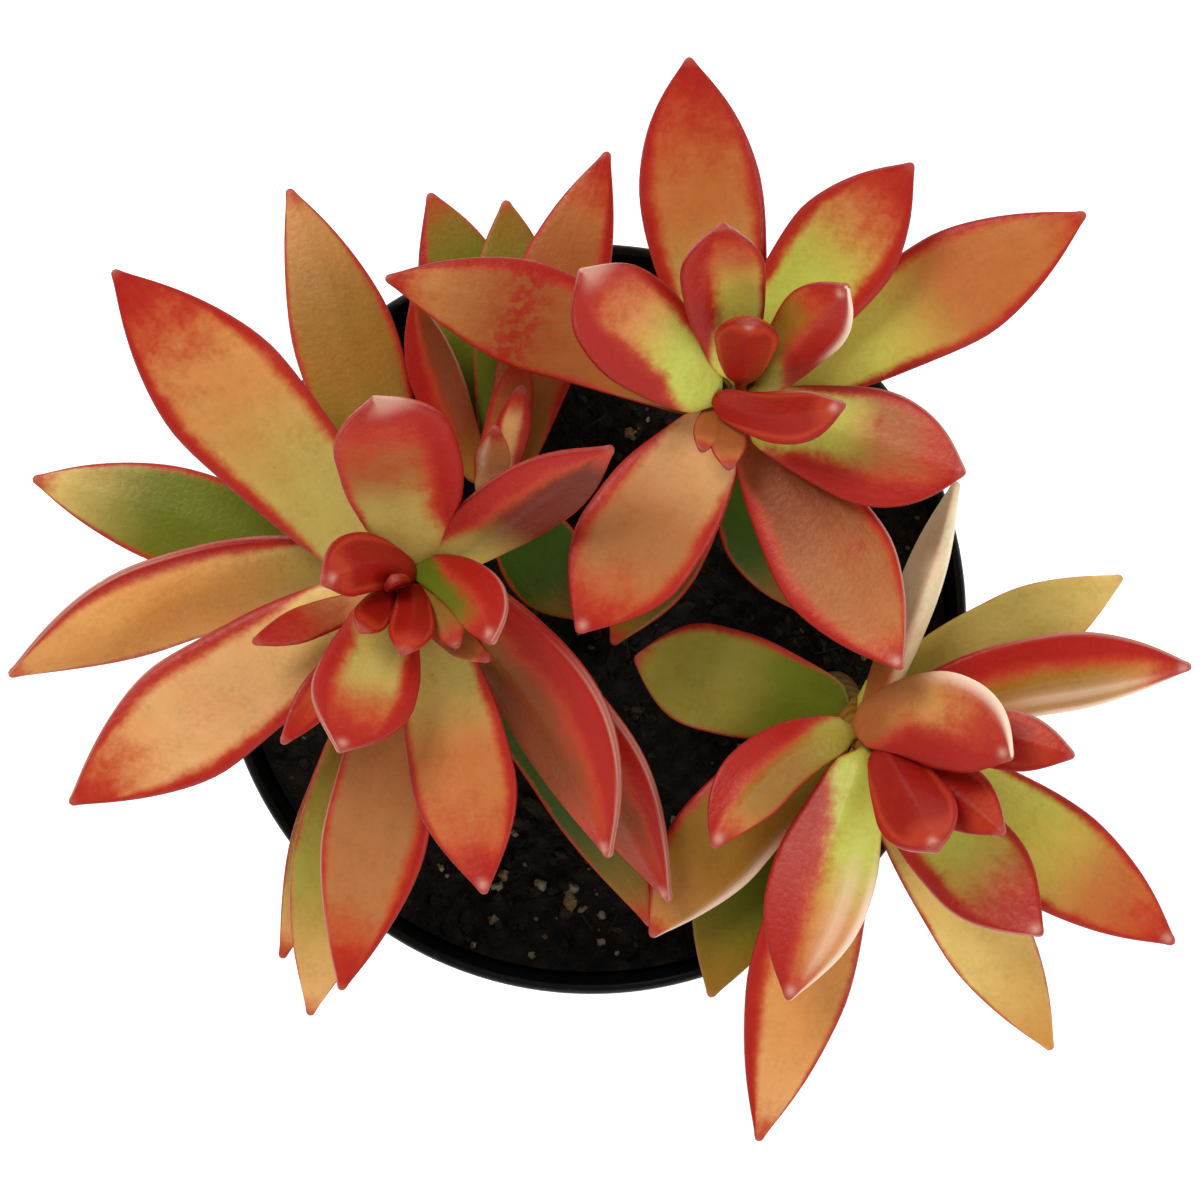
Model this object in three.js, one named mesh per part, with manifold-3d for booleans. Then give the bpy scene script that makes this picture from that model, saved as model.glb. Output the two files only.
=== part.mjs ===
// A potted firestorm sedum: four leafy stems of thick, red-edged leaves that stand in dark
// potting soil, in a small black nursery pot.
// Millimetres, +Z up. The origin is the middle of the pot's underside. Seen from above, +X is
// to the right and +Y is up the picture.

import * as THREE from 'three';
import { mergeVertices } from 'three/addons/utils/BufferGeometryUtils.js';
import ManifoldModule from 'manifold-3d';

const wasm = await ManifoldModule();
wasm.setup();

// Driving dimensions of the pot
const POT_HEIGHT = 80;
const RIM_RADIUS = 44.5;
const BASE_RADIUS = 32;
const WALL = 1.2;
const FLOOR = 1.6;
const BAND_HEIGHT = 9;
const BAND_FOOT_RADIUS = 43.7;
const SHOULDER_RADIUS = 41.6;
const DRAIN_COUNT = 8;
const DRAIN_RADIUS = 3.5;
const DRAIN_CIRCLE = 24;
const POT_SIDES = 48;

// Driving dimensions of the soil
const CLEARANCE = 0.3;
const SOIL_LEVEL = 74.2;
const SOIL_LUMPS = 0.7;
const SOIL_RINGS = 9;
const SHELF_Z = 72;
const HOLE_SIDES = 20;

// Driving dimensions of the leafy stems
const STEM_RADIUS = 2.7;
const CROWN_RADIUS = 1.7;
const STEM_FOOT_Z = 58;
const STEM_SIDES = 10;
const STEM_STEPS = 10;
const ANCHOR_STEPS = 30;
const LEAF_MESH = [8, 8];
const SMALL_LEAF_MESH = [6, 6];
const SMALL_LEAF = 6.5;
const LEAF_THICKNESS = 0.34;
const UPPER_SHARE = 0.28;
const WIDEST_AT = 0.58;
const ROOT_WIDTH = 0.44;
const CUP = 0.05;

const UP = new THREE.Vector3(0, 0, 1);

// Each leafy stem: where it leaves the soil, how it bends, where its crown ends, and its leaves.
// A leaf is [root, tip, width, arch, sway, roll, taper]: arch bulges its midrib towards its
// face, sway bends it to its right as seen from the root, roll turns its face to the right in
// degrees, and a higher taper keeps it broad for longer towards the tip.
const STEMS = {
  leafy_stem_left: {
    foot: [-16, -2.5], bend: [-21, 1, 84], crown: [-21, 4, 104],
    leaves: [
      [[-23, 5.5, 102], [-54, 39.5, 108], 15, -1.5, 0, 0, 1.8],
      [[-22.5, 3.5, 88], [-65.5, 16.5, 86], 11.5, 0.5, 0.6, 0, 2.1],
      [[-24.5, 6.5, 97], [-67, -6.5, 97], 12.5, -3.4, 1.5, -36, 1.8],
      [[-24.5, 3, 102], [-59.5, -21, 102], 14.5, -1.5, 0.3, 0, 1.8],
      [[-20, 0, 95], [-29, -43, 93], 12, 0, -0.3, 0, 1.8],
      [[-19, 1.5, 103], [-12, -31, 107], 12, -1.5, -0.3, 0, 1.9],
      [[-21.5, 0, 88], [-33, -46.5, 86], 12, 0, 0.5, 0, 1.8],
      [[-22, 0, 84], [-36.5, -40, 83], 8, 0, 0, 0, 1.8],
      [[-19, 5, 103], [2, -27, 105], 14, -4.5, -1.8, 42, 1.9],
      [[-18.5, 3.5, 97], [9, -32.5, 96], 13, -4, -1.2, 40, 1.8],
      [[-19, 5.5, 104], [2.5, 19, 119], 10.5, -1, 0, 35, 1.8],
      [[-19.5, 6, 105], [-23.5, 24, 129], 14, -2.5, 0.8, 0, 2.6],
      [[-21.5, 4.5, 88], [-35.5, 50.5, 86], 12, 0.5, 1.3, 0, 1.9],
      [[-20, 5, 107], [-29.5, 4, 119], 7, -1, 2, 0, 2.6],
      [[-24.5, 2.5, 103], [-38, -2.5, 110], 4, -0.5, 0, 0, 2],
      [[-24.5, 0, 102], [-35, -14, 106], 4.5, -0.5, 0, 0, 2],
      [[-20, 1, 104], [-11.5, -4.5, 110], 3.5, -0.5, 0, 0, 2],
      [[-18.5, 1, 88], [7, -36, 86], 11, -3, -1.5, 28, 1.8],
      [[-20, 6, 106], [-11, -2.5, 120], 6.5, -1, -2.6, 0, 2.6],
      [[-23, 2.5, 105], [-28, -14.5, 116], 12, -1.5, -0.6, 0, 1.9],
      [[-20.5, 4, 107], [-21, -3.5, 117], 5, -0.5, -0.8, 0, 2.6],
      [[-22.5, 3.5, 107], [-25.5, -1, 116], 4, -0.5, 0, 0, 2.8],
      [[-21.5, 3.5, 104], [-22, 4.5, 114], 3, 0, 0, 0, 2.4],
      [[-20, 5.5, 105], [-15, -3, 113], 5, 0, -0.4, 0, 2.2],
    ],
  },
  leafy_stem_top: {
    foot: [13, 16], bend: [16, 24, 84], crown: [16.6, 25, 106],
    leaves: [
      [[16.5, 27.5, 104], [11, 63, 113], 14, -1.5, -0.9, 0, 2],
      [[18, 28, 105], [36, 51, 114], 13, -1.5, -0.5, 0, 1.8],
      [[20, 26.5, 102], [56, 46, 107], 13, -1.5, 0.3, 0, 1.8],
      [[18, 23.5, 105], [42, 16.5, 112], 13, -1.5, 0, 0, 2.4],
      [[18, 23.5, 102], [35, -5.5, 110], 13.5, -1.5, 0.3, 0, 1.9],
      [[15.5, 23, 102], [-1.5, -1.5, 106], 14.5, -1, 0.3, 0, 1.9],
      [[14, 25, 100], [-23.5, 39, 102], 12, 0, 1.8, 0, 1.8],
      [[14, 25, 107], [-1, 38.5, 122], 12, -1.5, -0.5, 0, 2.8],
      [[16.5, 27.5, 108], [14.5, 43, 128], 9.5, -2, -0.5, 0, 2.3],
      [[17, 27, 108], [17.5, 33, 122], 7, -1, 0, 0, 2.8],
      [[19.5, 26.5, 107], [28, 36.5, 125], 8, -1.5, -0.3, 0, 2.2],
      [[14, 25, 108], [28, 24, 119], 6, -1, 1.8, 0, 2.2],
      [[14, 24.5, 106], [12.5, 19, 110], 3, 0, 0, 0, 2],
      [[15.5, 24, 106], [15.5, 17, 111], 4, 0, 0, 0, 2],
      [[16.5, 23, 90], [24.5, 1, 86], 11, 1, 0.4, 0, 1.8],
      [[16, 23, 90], [2.5, -3, 87], 10, 1, 0, 0, 1.8],
    ],
  },
  leafy_stem_right: {
    foot: [29, -9], bend: [30.5, -11, 84], crown: [32, -14.2, 96],
    leaves: [
      [[31.5, -10, 89], [62, 5, 89], 10, 0.5, 0.5, 0, 1.8],
      [[33, -12, 94], [69.5, -5.5, 94], 10, -1, -2, 22, 2],
      [[33.5, -13.5, 97], [55, -15.5, 104], 7, -0.5, -1.2, 0, 2.6],
      [[30.5, -12.5, 97], [47, -15.5, 113], 11, -1, -2.8, 0, 2.6],
      [[33.5, -14.5, 98], [38.5, -25.5, 115], 9, -1.5, 0, 0, 2.6],
      [[33.5, -15, 97], [46.5, -24, 109], 7.5, -1, -0.6, 0, 2],
      [[34.5, -15, 94], [67.5, -37.5, 94], 12.5, -1, -0.6, 0, 1.8],
      [[33.5, -16, 96], [51.5, -36, 102], 12, -1.5, 0.3, 0, 1.9],
      [[32, -16, 91], [54, -50.5, 86], 10.5, 0.5, -0.5, 0, 1.9],
      [[31, -16, 91], [19.5, -61, 88], 12, 0, 0.1, 0, 1.7],
      [[31.5, -15.5, 97], [22.5, -43.5, 101], 12, -1, 0.3, 0, 1.9],
      [[30, -13, 96], [14, -26, 103], 9, 0.5, 3, 0, 2.3],
      [[29.5, -12.5, 90], [7, -37, 90], 11.5, 0, 1.8, 0, 2],
      [[28.5, -11, 84], [14, -44.5, 84], 13, 0.5, 1.2, 0, 1.8],
      [[30, -11, 86], [5, -4.5, 88], 12.5, -0.5, 0, 0, 2.4],
      [[32, -11, 90], [42, 16, 97], 10, 0, 0.9, -60, 1.8],
    ],
  },
  leafy_stem_back: {
    foot: [-9.5, 11], bend: [-11.4, 14.5, 78], crown: [-11.7, 15.6, 90],
    leaves: [
      [[-10, 16.5, 87], [2, 54.5, 90], 10.5, 0, -0.6, 0, 1.8],
      [[-10.5, 16.5, 86], [-10, 49, 88], 10, 0, 1.2, 0, 2.1],
      [[-12, 17, 84], [-19, 50, 86], 11, 0, 1.8, 0, 2],
      [[-10.5, 15, 86], [-1.5, 0, 81], 10, 0.5, 0, 0, 2],
      [[-12.5, 14.5, 90], [-11, 22, 100], 4, 0, 0.3, 0, 2],
      [[-10.5, 15.5, 90], [-8, 27, 95], 4, 0, 0, 0, 2],
      [[-12.5, 16.5, 89], [-8, 31, 92], 5, 0, 0.6, 0, 2],
      [[-12.5, 16, 88], [-20.5, 37.5, 93], 6, -1, -1, 0, 2],
    ],
  },
};

// Pale mineral grains that lie on the soil where it shows: [x, y, radius]
const GRAINS = [
  [-9.2, -25.6, 0.6], [-6.1, -31.8, 1.1], [-2, -32.2, 0.9], [-11.3, -32, 1], [-18, -29.8, 0.6],
  [-11.7, -36, 0.8], [-1.1, -34.7, 0.7], [1.3, -35.4, 0.8], [1.2, -38.6, 0.8], [-7.1, -40.2, 0.6],
  [-14.1, -39, 0.5], [3.1, -40, 0.5], [38, 3, 0.9], [-36, 10, 0.8], [-30, -22, 0.7], [6, 8, 0.9],
  [22, -28, 0.8], [3, -14, 1], [20, 36, 0.8], [-26, 29, 0.9], [36, 20, 0.7], [10, -24, 0.7],
];

// A closed geometry as a solid that can be joined and cut
function solid(geometry) {
  const bare = geometry.clone();
  bare.deleteAttribute('normal');
  bare.deleteAttribute('uv');
  const merged = mergeVertices(bare, 1e-4);
  return new wasm.Manifold(new wasm.Mesh({
    numProp: 3,
    vertProperties: Float32Array.from(merged.attributes.position.array),
    triVerts: Uint32Array.from(merged.index.array),
  }));
}

// A joined or cut solid as a geometry again
function geometryOf(body) {
  const mesh = body.getMesh();
  const geometry = new THREE.BufferGeometry();
  geometry.setAttribute('position', new THREE.BufferAttribute(mesh.vertProperties, 3));
  geometry.setIndex(new THREE.BufferAttribute(mesh.triVerts, 1));
  return geometry;
}

// A turned solid: the profile is a list of [radius, height] from the axis round to the axis
function turned(profile, sides) {
  const points = profile.map(([radius, height]) => new THREE.Vector2(radius, height));
  return new THREE.LatheGeometry(points, sides).rotateX(Math.PI / 2);
}

// An upright round bar between two heights
function uprightBar(x, y, radius, low, high, sides) {
  const bar = new THREE.CylinderGeometry(radius, radius, high - low, sides);
  return bar.rotateX(Math.PI / 2).translate(x, y, (low + high) / 2);
}

// The pot's inner radius at a height below its shelf
function innerRadius(height) {
  const bandFoot = POT_HEIGHT - BAND_HEIGHT;
  return BASE_RADIUS + (SHOULDER_RADIUS - BASE_RADIUS) * height / bandFoot - WALL;
}

// The pot: a thin tapered cup with a wider band under its rim and drain holes in its floor
function potGeometry() {
  const bandFoot = POT_HEIGHT - BAND_HEIGHT;
  const lip = WALL / 2;
  const profile = [
    [0, 0],
    [BASE_RADIUS - 1, 0],
    [BASE_RADIUS, 1],
    [SHOULDER_RADIUS, bandFoot],
    [BAND_FOOT_RADIUS, bandFoot + 0.4],
    [RIM_RADIUS, POT_HEIGHT - lip],
    [RIM_RADIUS - lip / 2, POT_HEIGHT],
    [RIM_RADIUS - WALL, POT_HEIGHT],
    [BAND_FOOT_RADIUS - WALL, SHELF_Z],
    [innerRadius(bandFoot), bandFoot - lip],
    [innerRadius(FLOOR), FLOOR],
    [0, FLOOR],
  ];
  let pot = solid(turned(profile, POT_SIDES));
  for (let i = 0; i < DRAIN_COUNT; i++) {
    const turn = 2 * Math.PI * i / DRAIN_COUNT;
    const x = DRAIN_CIRCLE * Math.cos(turn);
    const y = DRAIN_CIRCLE * Math.sin(turn);
    pot = pot.subtract(solid(uprightBar(x, y, DRAIN_RADIUS, -1, FLOOR + 1, 16)));
  }
  return geometryOf(pot);
}

// The height of the soil's lumpy surface at a place
function soilHeight(x, y) {
  const wide = Math.sin(0.21 * x + 1.3) * Math.cos(0.19 * y - 0.4);
  const small = Math.sin(0.83 * x - 0.6 * y) * Math.sin(0.71 * y + 0.34 * x + 2);
  return SOIL_LEVEL + SOIL_LUMPS * (0.7 * wide + 0.4 * small);
}

// The soil: it fills the pot, and each stem stands in a plain hole in it
function soilGeometry() {
  const bandFoot = POT_HEIGHT - BAND_HEIGHT;
  const bottom = FLOOR + CLEARANCE;
  const edge = BAND_FOOT_RADIUS - WALL - CLEARANCE;
  const profile = [
    [0, bottom],
    [innerRadius(bottom) - CLEARANCE, bottom],
    [innerRadius(bandFoot) - CLEARANCE, bandFoot - 0.4],
    [edge, SHELF_Z + CLEARANCE],
  ];
  for (let ring = 0; ring <= SOIL_RINGS; ring++) {
    profile.push([edge * (1 - ring / SOIL_RINGS), SOIL_LEVEL]);
  }
  const geometry = turned(profile, POT_SIDES);
  const place = geometry.attributes.position;
  for (let i = 0; i < place.count; i++) {
    if (place.getZ(i) > SOIL_LEVEL - 0.1) {
      place.setZ(i, soilHeight(place.getX(i), place.getY(i)));
    }
  }
  let soil = solid(geometry);
  for (const [x, y, radius] of GRAINS) {
    const grain = new THREE.IcosahedronGeometry(radius, 0);
    grain.translate(x, y, soilHeight(x, y));
    soil = soil.add(solid(grain));
  }
  for (const { foot } of Object.values(STEMS)) {
    const hole = uprightBar(...foot, STEM_RADIUS + CLEARANCE, STEM_FOOT_Z - CLEARANCE, POT_HEIGHT, HOLE_SIDES);
    soil = soil.subtract(solid(hole));
  }
  return geometryOf(soil);
}

// How wide a leaf is at t along it, as a share of its full width
function widthShare(t, taper) {
  if (t < WIDEST_AT) {
    const rounding = Math.sqrt(Math.sin(0.5 * Math.PI * Math.min(1, (t + 0.01) / 0.08)));
    const swell = Math.sin(0.5 * Math.PI * t / WIDEST_AT);
    return (ROOT_WIDTH + (1 - ROOT_WIDTH) * swell) * rounding;
  }
  return 1 - ((t - WIDEST_AT) / (1 - WIDEST_AT)) ** taper;
}

// How thick a leaf is at t along it, as a share of its full thickness
function thicknessShare(t) {
  if (t < 0.45) {
    return 0.82 + 0.18 * Math.sin(0.5 * Math.PI * t / 0.45);
  }
  return 1 - ((t - 0.45) / 0.55) ** 2.4;
}

// A sphere whose poles become the leaf's anchor in the stem and its tip, and whose rings become
// its sections: nearly flat on the face, keeled below, with the margins lifted a little
function leafGeometry([rootPlace, tipPlace, width, arch, sway, roll, taper], anchor) {
  const root = new THREE.Vector3(...rootPlace);
  const tip = new THREE.Vector3(...tipPlace);
  const chord = tip.clone().sub(root).normalize();
  const face = UP.clone().addScaledVector(chord, -UP.dot(chord)).normalize();
  face.applyAxisAngle(chord, THREE.MathUtils.degToRad(roll));
  const right = chord.clone().cross(face);
  const middle = root.clone().add(tip).multiplyScalar(0.5);
  middle.addScaledVector(face, 2 * arch).addScaledVector(right, 2 * sway);
  const midrib = new THREE.QuadraticBezierCurve3(root, middle, tip);
  const depth = LEAF_THICKNESS * width;
  const [sides, rings] = width < SMALL_LEAF ? SMALL_LEAF_MESH : LEAF_MESH;
  const geometry = new THREE.SphereGeometry(1, sides, rings + 1);
  const place = geometry.attributes.position;
  for (let i = 0; i < place.count; i++) {
    const ring = Math.round((rings + 1) * Math.acos(place.getY(i)) / Math.PI);
    if (ring === 0 || ring === rings + 1) {
      place.setXYZ(i, ...(ring === 0 ? anchor : tip));
      continue;
    }
    const t = 1 - (1 - (ring - 1) / rings) ** 1.35;
    const angle = Math.atan2(place.getZ(i), -place.getX(i));
    const across = Math.cos(angle);
    const rise = Math.sin(angle);
    const along = midrib.getTangent(t);
    const normal = face.clone().addScaledVector(along, -face.dot(along)).normalize();
    const side = along.clone().cross(normal);
    const lift = CUP * width * across ** 2 * Math.sin(Math.PI * t) ** 0.7;
    const body = depth * thicknessShare(t);
    const height = rise > 0 ? UPPER_SHARE * body * rise ** 1.25
      : -(1 - UPPER_SHARE) * body * (-rise) ** 1.15;
    const point = midrib.getPoint(t);
    point.addScaledVector(side, 0.5 * width * widthShare(t, taper) * across);
    point.addScaledVector(normal, height + lift);
    place.setXYZ(i, ...point);
  }
  return geometry;
}

// The stem's middle line above the soil, in one bend to the crown
function stemCurve({ foot, bend, crown }) {
  const start = new THREE.Vector3(...foot, SOIL_LEVEL + 1);
  return new THREE.QuadraticBezierCurve3(start, new THREE.Vector3(...bend), new THREE.Vector3(...crown));
}

// The bare stem: straight up through the soil, then along its curve
function stemGeometry(stem) {
  const low = new THREE.Vector3(...stem.foot, STEM_FOOT_Z);
  const curve = stemCurve(stem);
  const geometry = new THREE.SphereGeometry(1, STEM_SIDES, STEM_STEPS + 3);
  const place = geometry.attributes.position;
  for (let i = 0; i < place.count; i++) {
    const ring = Math.round((STEM_STEPS + 3) * Math.acos(place.getY(i)) / Math.PI);
    const t = Math.max(0, Math.min(1, (ring - 2) / STEM_STEPS));
    const centre = ring < 2 ? low : curve.getPoint(t);
    const pole = ring === 0 || ring === STEM_STEPS + 3;
    const radius = pole ? 0 : THREE.MathUtils.lerp(STEM_RADIUS, CROWN_RADIUS, t);
    const angle = Math.atan2(place.getZ(i), place.getX(i));
    place.setXYZ(i, centre.x + radius * Math.cos(angle), centre.y + radius * Math.sin(angle), centre.z);
  }
  return geometry;
}

// The place on the stem's middle line where a leaf is rooted
function anchorOf(leaf, stem) {
  const root = new THREE.Vector3(...leaf[0]);
  const places = stemCurve(stem).getPoints(ANCHOR_STEPS).slice(0, -1);
  places.sort((a, b) => a.distanceTo(root) - b.distanceTo(root));
  return places[0];
}

// A leafy stem: every leaf starts on the stem's middle line, and all are joined into one body
function leafyStemGeometry(stem) {
  let body = solid(stemGeometry(stem));
  for (const leaf of stem.leaves) {
    body = body.add(solid(leafGeometry(leaf, anchorOf(leaf, stem))));
  }
  return geometryOf(body);
}

const potPlastic = new THREE.MeshStandardMaterial({ color: 0x1c1b1a, roughness: 0.5, metalness: 0 });
const soilMix = new THREE.MeshStandardMaterial({ color: 0x2b211a, roughness: 1, metalness: 0 });
const leafSkin = new THREE.MeshStandardMaterial({ color: 0xc4683c, roughness: 0.38, metalness: 0 });

// One named piece of the plant
function piece(name, geometry, material) {
  geometry.computeVertexNormals();
  const mesh = new THREE.Mesh(geometry, material);
  mesh.name = name;
  return mesh;
}

const plant = new THREE.Group();
plant.name = 'potted_sedum';
plant.add(piece('pot', potGeometry(), potPlastic));
plant.add(piece('soil', soilGeometry(), soilMix));
for (const [name, stem] of Object.entries(STEMS)) {
  plant.add(piece(name, leafyStemGeometry(stem), leafSkin));
}

export default plant;
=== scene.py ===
"""A potted firestorm sedum: leafy stems with thick, red-edged leaves, in dark soil in a black pot."""

import math
import random
from typing import NamedTuple

import bmesh
import bpy
import numpy as np
from bpy.props import EnumProperty, FloatProperty, FloatVectorProperty, IntProperty, PointerProperty
from mathutils import Euler, Matrix, Vector, noise


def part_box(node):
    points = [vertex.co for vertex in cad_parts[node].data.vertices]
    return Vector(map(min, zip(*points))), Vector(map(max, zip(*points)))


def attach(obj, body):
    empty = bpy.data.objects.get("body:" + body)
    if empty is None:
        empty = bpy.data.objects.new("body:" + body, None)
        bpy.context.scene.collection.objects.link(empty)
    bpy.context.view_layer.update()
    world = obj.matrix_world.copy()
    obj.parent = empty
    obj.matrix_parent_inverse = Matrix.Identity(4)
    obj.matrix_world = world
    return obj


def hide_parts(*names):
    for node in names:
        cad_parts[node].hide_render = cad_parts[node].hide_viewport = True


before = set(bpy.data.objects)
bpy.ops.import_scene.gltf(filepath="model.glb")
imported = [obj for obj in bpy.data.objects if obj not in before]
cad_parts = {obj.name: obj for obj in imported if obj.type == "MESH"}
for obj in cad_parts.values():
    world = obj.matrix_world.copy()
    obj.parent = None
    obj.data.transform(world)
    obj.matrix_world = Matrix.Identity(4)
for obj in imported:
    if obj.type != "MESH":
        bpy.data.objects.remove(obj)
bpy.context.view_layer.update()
POT_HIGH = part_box("pot")[1]

bl_info = {
    "name": "Potted firestorm sedum",
    "version": (1, 0, 0),
    "blender": (4, 5, 0),
    "location": "3D Viewport > Sidebar > Sedum",
    "description": "Models a potted firestorm sedum round its frame, piece by piece",
    "category": "Add Mesh",
}

MM = 0.001
BODY = "root"

# Seeds of the random draws, and how finely the plain shapes are divided
LITTER_SEED = 11
GRAIN_SEED = 23
GRAIN_KINDS = 4
DRAIN_SIDES = 32
HOLE_SIDES = 40
STEM_SIDES = 24
STEM_STEPS = 60
ANCHOR_STEPS = 30

# How near loose crumbs come to the middle of a stem, and the step in the soil's side under the
# pot's band, inwards and down
STEM_CLEARANCE = 3.4 * MM
STEP_IN = 2.4 * MM
STEP_DOWN = 1.6 * MM

# The soft lights (name, place in metres, watts), their size in metres, and the point they face
LAMPS = (
    ("key_light", (-0.7, 0.9, 1.5), 17),
    ("right_light", (1.3, -0.2, 1.0), 6),
    ("front_light", (0.1, -1.4, 0.9), 5),
)
LAMP_SIZE = 0.8
LAMP_AIM = (0, 0, 0.08)
SENSOR_WIDTH = 36


class Leaf(NamedTuple):
    """One leaf, in millimetres, and its finish. Left and right are as seen from the root."""

    root: tuple
    tip: tuple
    width: float
    arch: float
    sway: float
    roll: float
    taper: float
    tone: str
    left: float
    right: float
    end: float
    fold: float = 0
    fresh: float = 0.25
    marks: str = ""


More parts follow.
